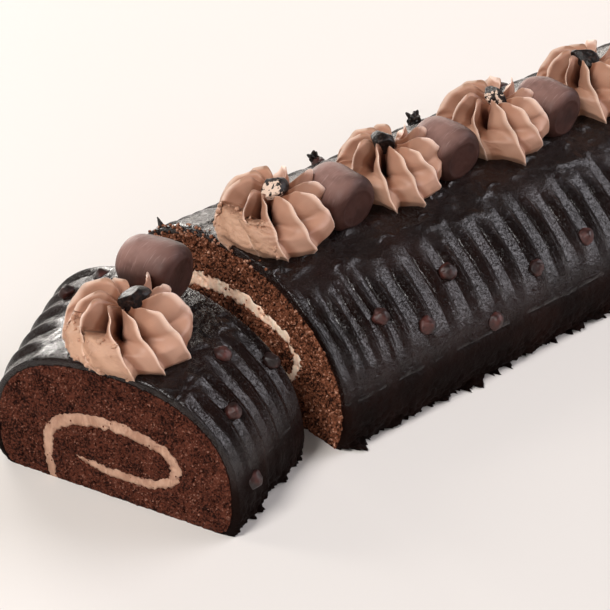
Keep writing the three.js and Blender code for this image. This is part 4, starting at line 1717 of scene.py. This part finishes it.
def rim_crumb(draw, on_top):
    """A round scrap: its places and size are drawn in this order."""
    s = draw.uniform(0.0005, 0.008) if on_top else -0.001
    lift = draw.uniform(-0.1, 0.2) if on_top else draw.uniform(-COAT, -0.2)
    t = draw.gauss(RIM_CRUMBS["near"], RIM_CRUMBS["spread"])
    size = draw.uniform(RIM_CRUMBS["smallest"], RIM_CRUMBS["largest"])
    return s, t, lift, dict(size=size, spikes=[], seed=draw.uniform(0, 99), sharp=1)


draw_crumbs = random.Random(RIM_CRUMBS["seed"])
rim_crumbs = [rim_crumb(draw_crumbs, i % 3 == 0) for i in range(RIM_CRUMBS["count"])]
lay_scraps("roll_rim_crumbs", ROLL, rim_crumbs, ROLL_SPONGE_PAINTED_LIGHTER, "sponge", detail=2)

# %% [markdown]
# ## The table and the light
# A plain pale floor comes first. Black ganache shows mostly what it
# reflects, so the lights are placed for their reflections:
# - the rib softbox, broad and low at the front right, draws the long sheen
#   down the ribs;
# - the left top one lights the cream and the cut faces;
# - the low back one rims the crown, and the small back left one puts glints
#   on its dents;
# - the far left one, low behind, brightens the slice's far shoulder;
# - the front left one is faint and opens the shadows.

# %% Floor
def lay_floor(half):
    corners = [(-half, -half, 0), (half, -half, 0), (half, half, 0), (-half, half, 0)]
    mesh = bpy.data.meshes.new("floor")
    mesh.from_pydata(corners, [], [(0, 1, 2, 3)])
    material, bench, shader, where = new_finish("floor", {"Roughness": 0.6, "Specular IOR Level": 0.2})
    tone = bench.noise(2.0, 1.0, where=where)
    bench.fill(shader.inputs["Base Color"], bench.blend(tone, colour(230, 224, 219), colour(234, 229, 224)))
    mesh.materials.append(material)
    link_object("floor", mesh)


lay_floor(6)
print("floor laid")


# %% Lights
def hang_light(name, way, distance, width, height, radiance, tint, aim, along):
    """Hangs a soft panel that way from aim. along is the direction of its height."""
    data = bpy.data.lights.new(name, "AREA")
    data.shape = "RECTANGLE"
    data.size, data.size_y = width, height
    data.energy = radiance * math.pi * width * height
    data.color = tint
    light = link_object(name, data)
    way = Vector(way).normalized()
    across = Vector(along).cross(way).normalized()
    turned = Matrix((across, way.cross(across), way)).transposed().to_4x4()
    light.matrix_world = Matrix.Translation(Vector(aim) + way * distance) @ turned


ANY_LIGHT = dict(tint=(1.0, 1.0, 1.0), aim=(-0.06, 0.0, 0.03), along=(0.0, 0.0, 1.0))
LIGHTS = {
    "rib softbox": dict(
        way=(0.74, -0.446, 0.5), distance=1.3, width=0.95, height=1.08, radiance=4.1,
        tint=(0.97, 0.94, 1.0), along=(0.0, 0.78, 0.62)),
    "left top": dict(
        way=(-0.66, -0.16, 0.73), distance=1.5, width=0.5, height=0.5, radiance=21.5,
        tint=(1.0, 0.98, 0.96)),
    "low back": dict(
        way=(0.52, 0.82, 0.19), distance=1.6, width=1.8, height=0.5, radiance=5.6,
        tint=(1.0, 0.92, 0.84)),
    "back left": dict(
        way=(-0.5, 0.64, 0.54), distance=1.5, width=0.32, height=0.32, radiance=10.5,
        tint=(1.0, 0.96, 0.9)),
    "far left": dict(
        way=(0.24, 0.95, 0.19), distance=1.6, width=0.6, height=0.45, radiance=12.0,
        tint=(1.0, 0.97, 0.93), aim=(-0.17, 0.0, 0.045)),
    "front left": dict(way=(-0.6, -0.75, 0.28), distance=1.5, width=0.9, height=0.9, radiance=1.5),
}
for name, light in LIGHTS.items():
    hang_light(name, **{**ANY_LIGHT, **light})


def set_world(shade, strength):
    world = bpy.data.worlds.new("studio")
    world.use_nodes = True
    background = world.node_tree.nodes["Background"]
    background.inputs["Color"].default_value = shade
    background.inputs["Strength"].default_value = strength
    bpy.context.scene.world = world
    bpy.context.scene.view_settings.view_transform = "Standard"


set_world((1.0, 0.98, 0.94, 1.0), 0.06)
print(len(LIGHTS), "lights hung")
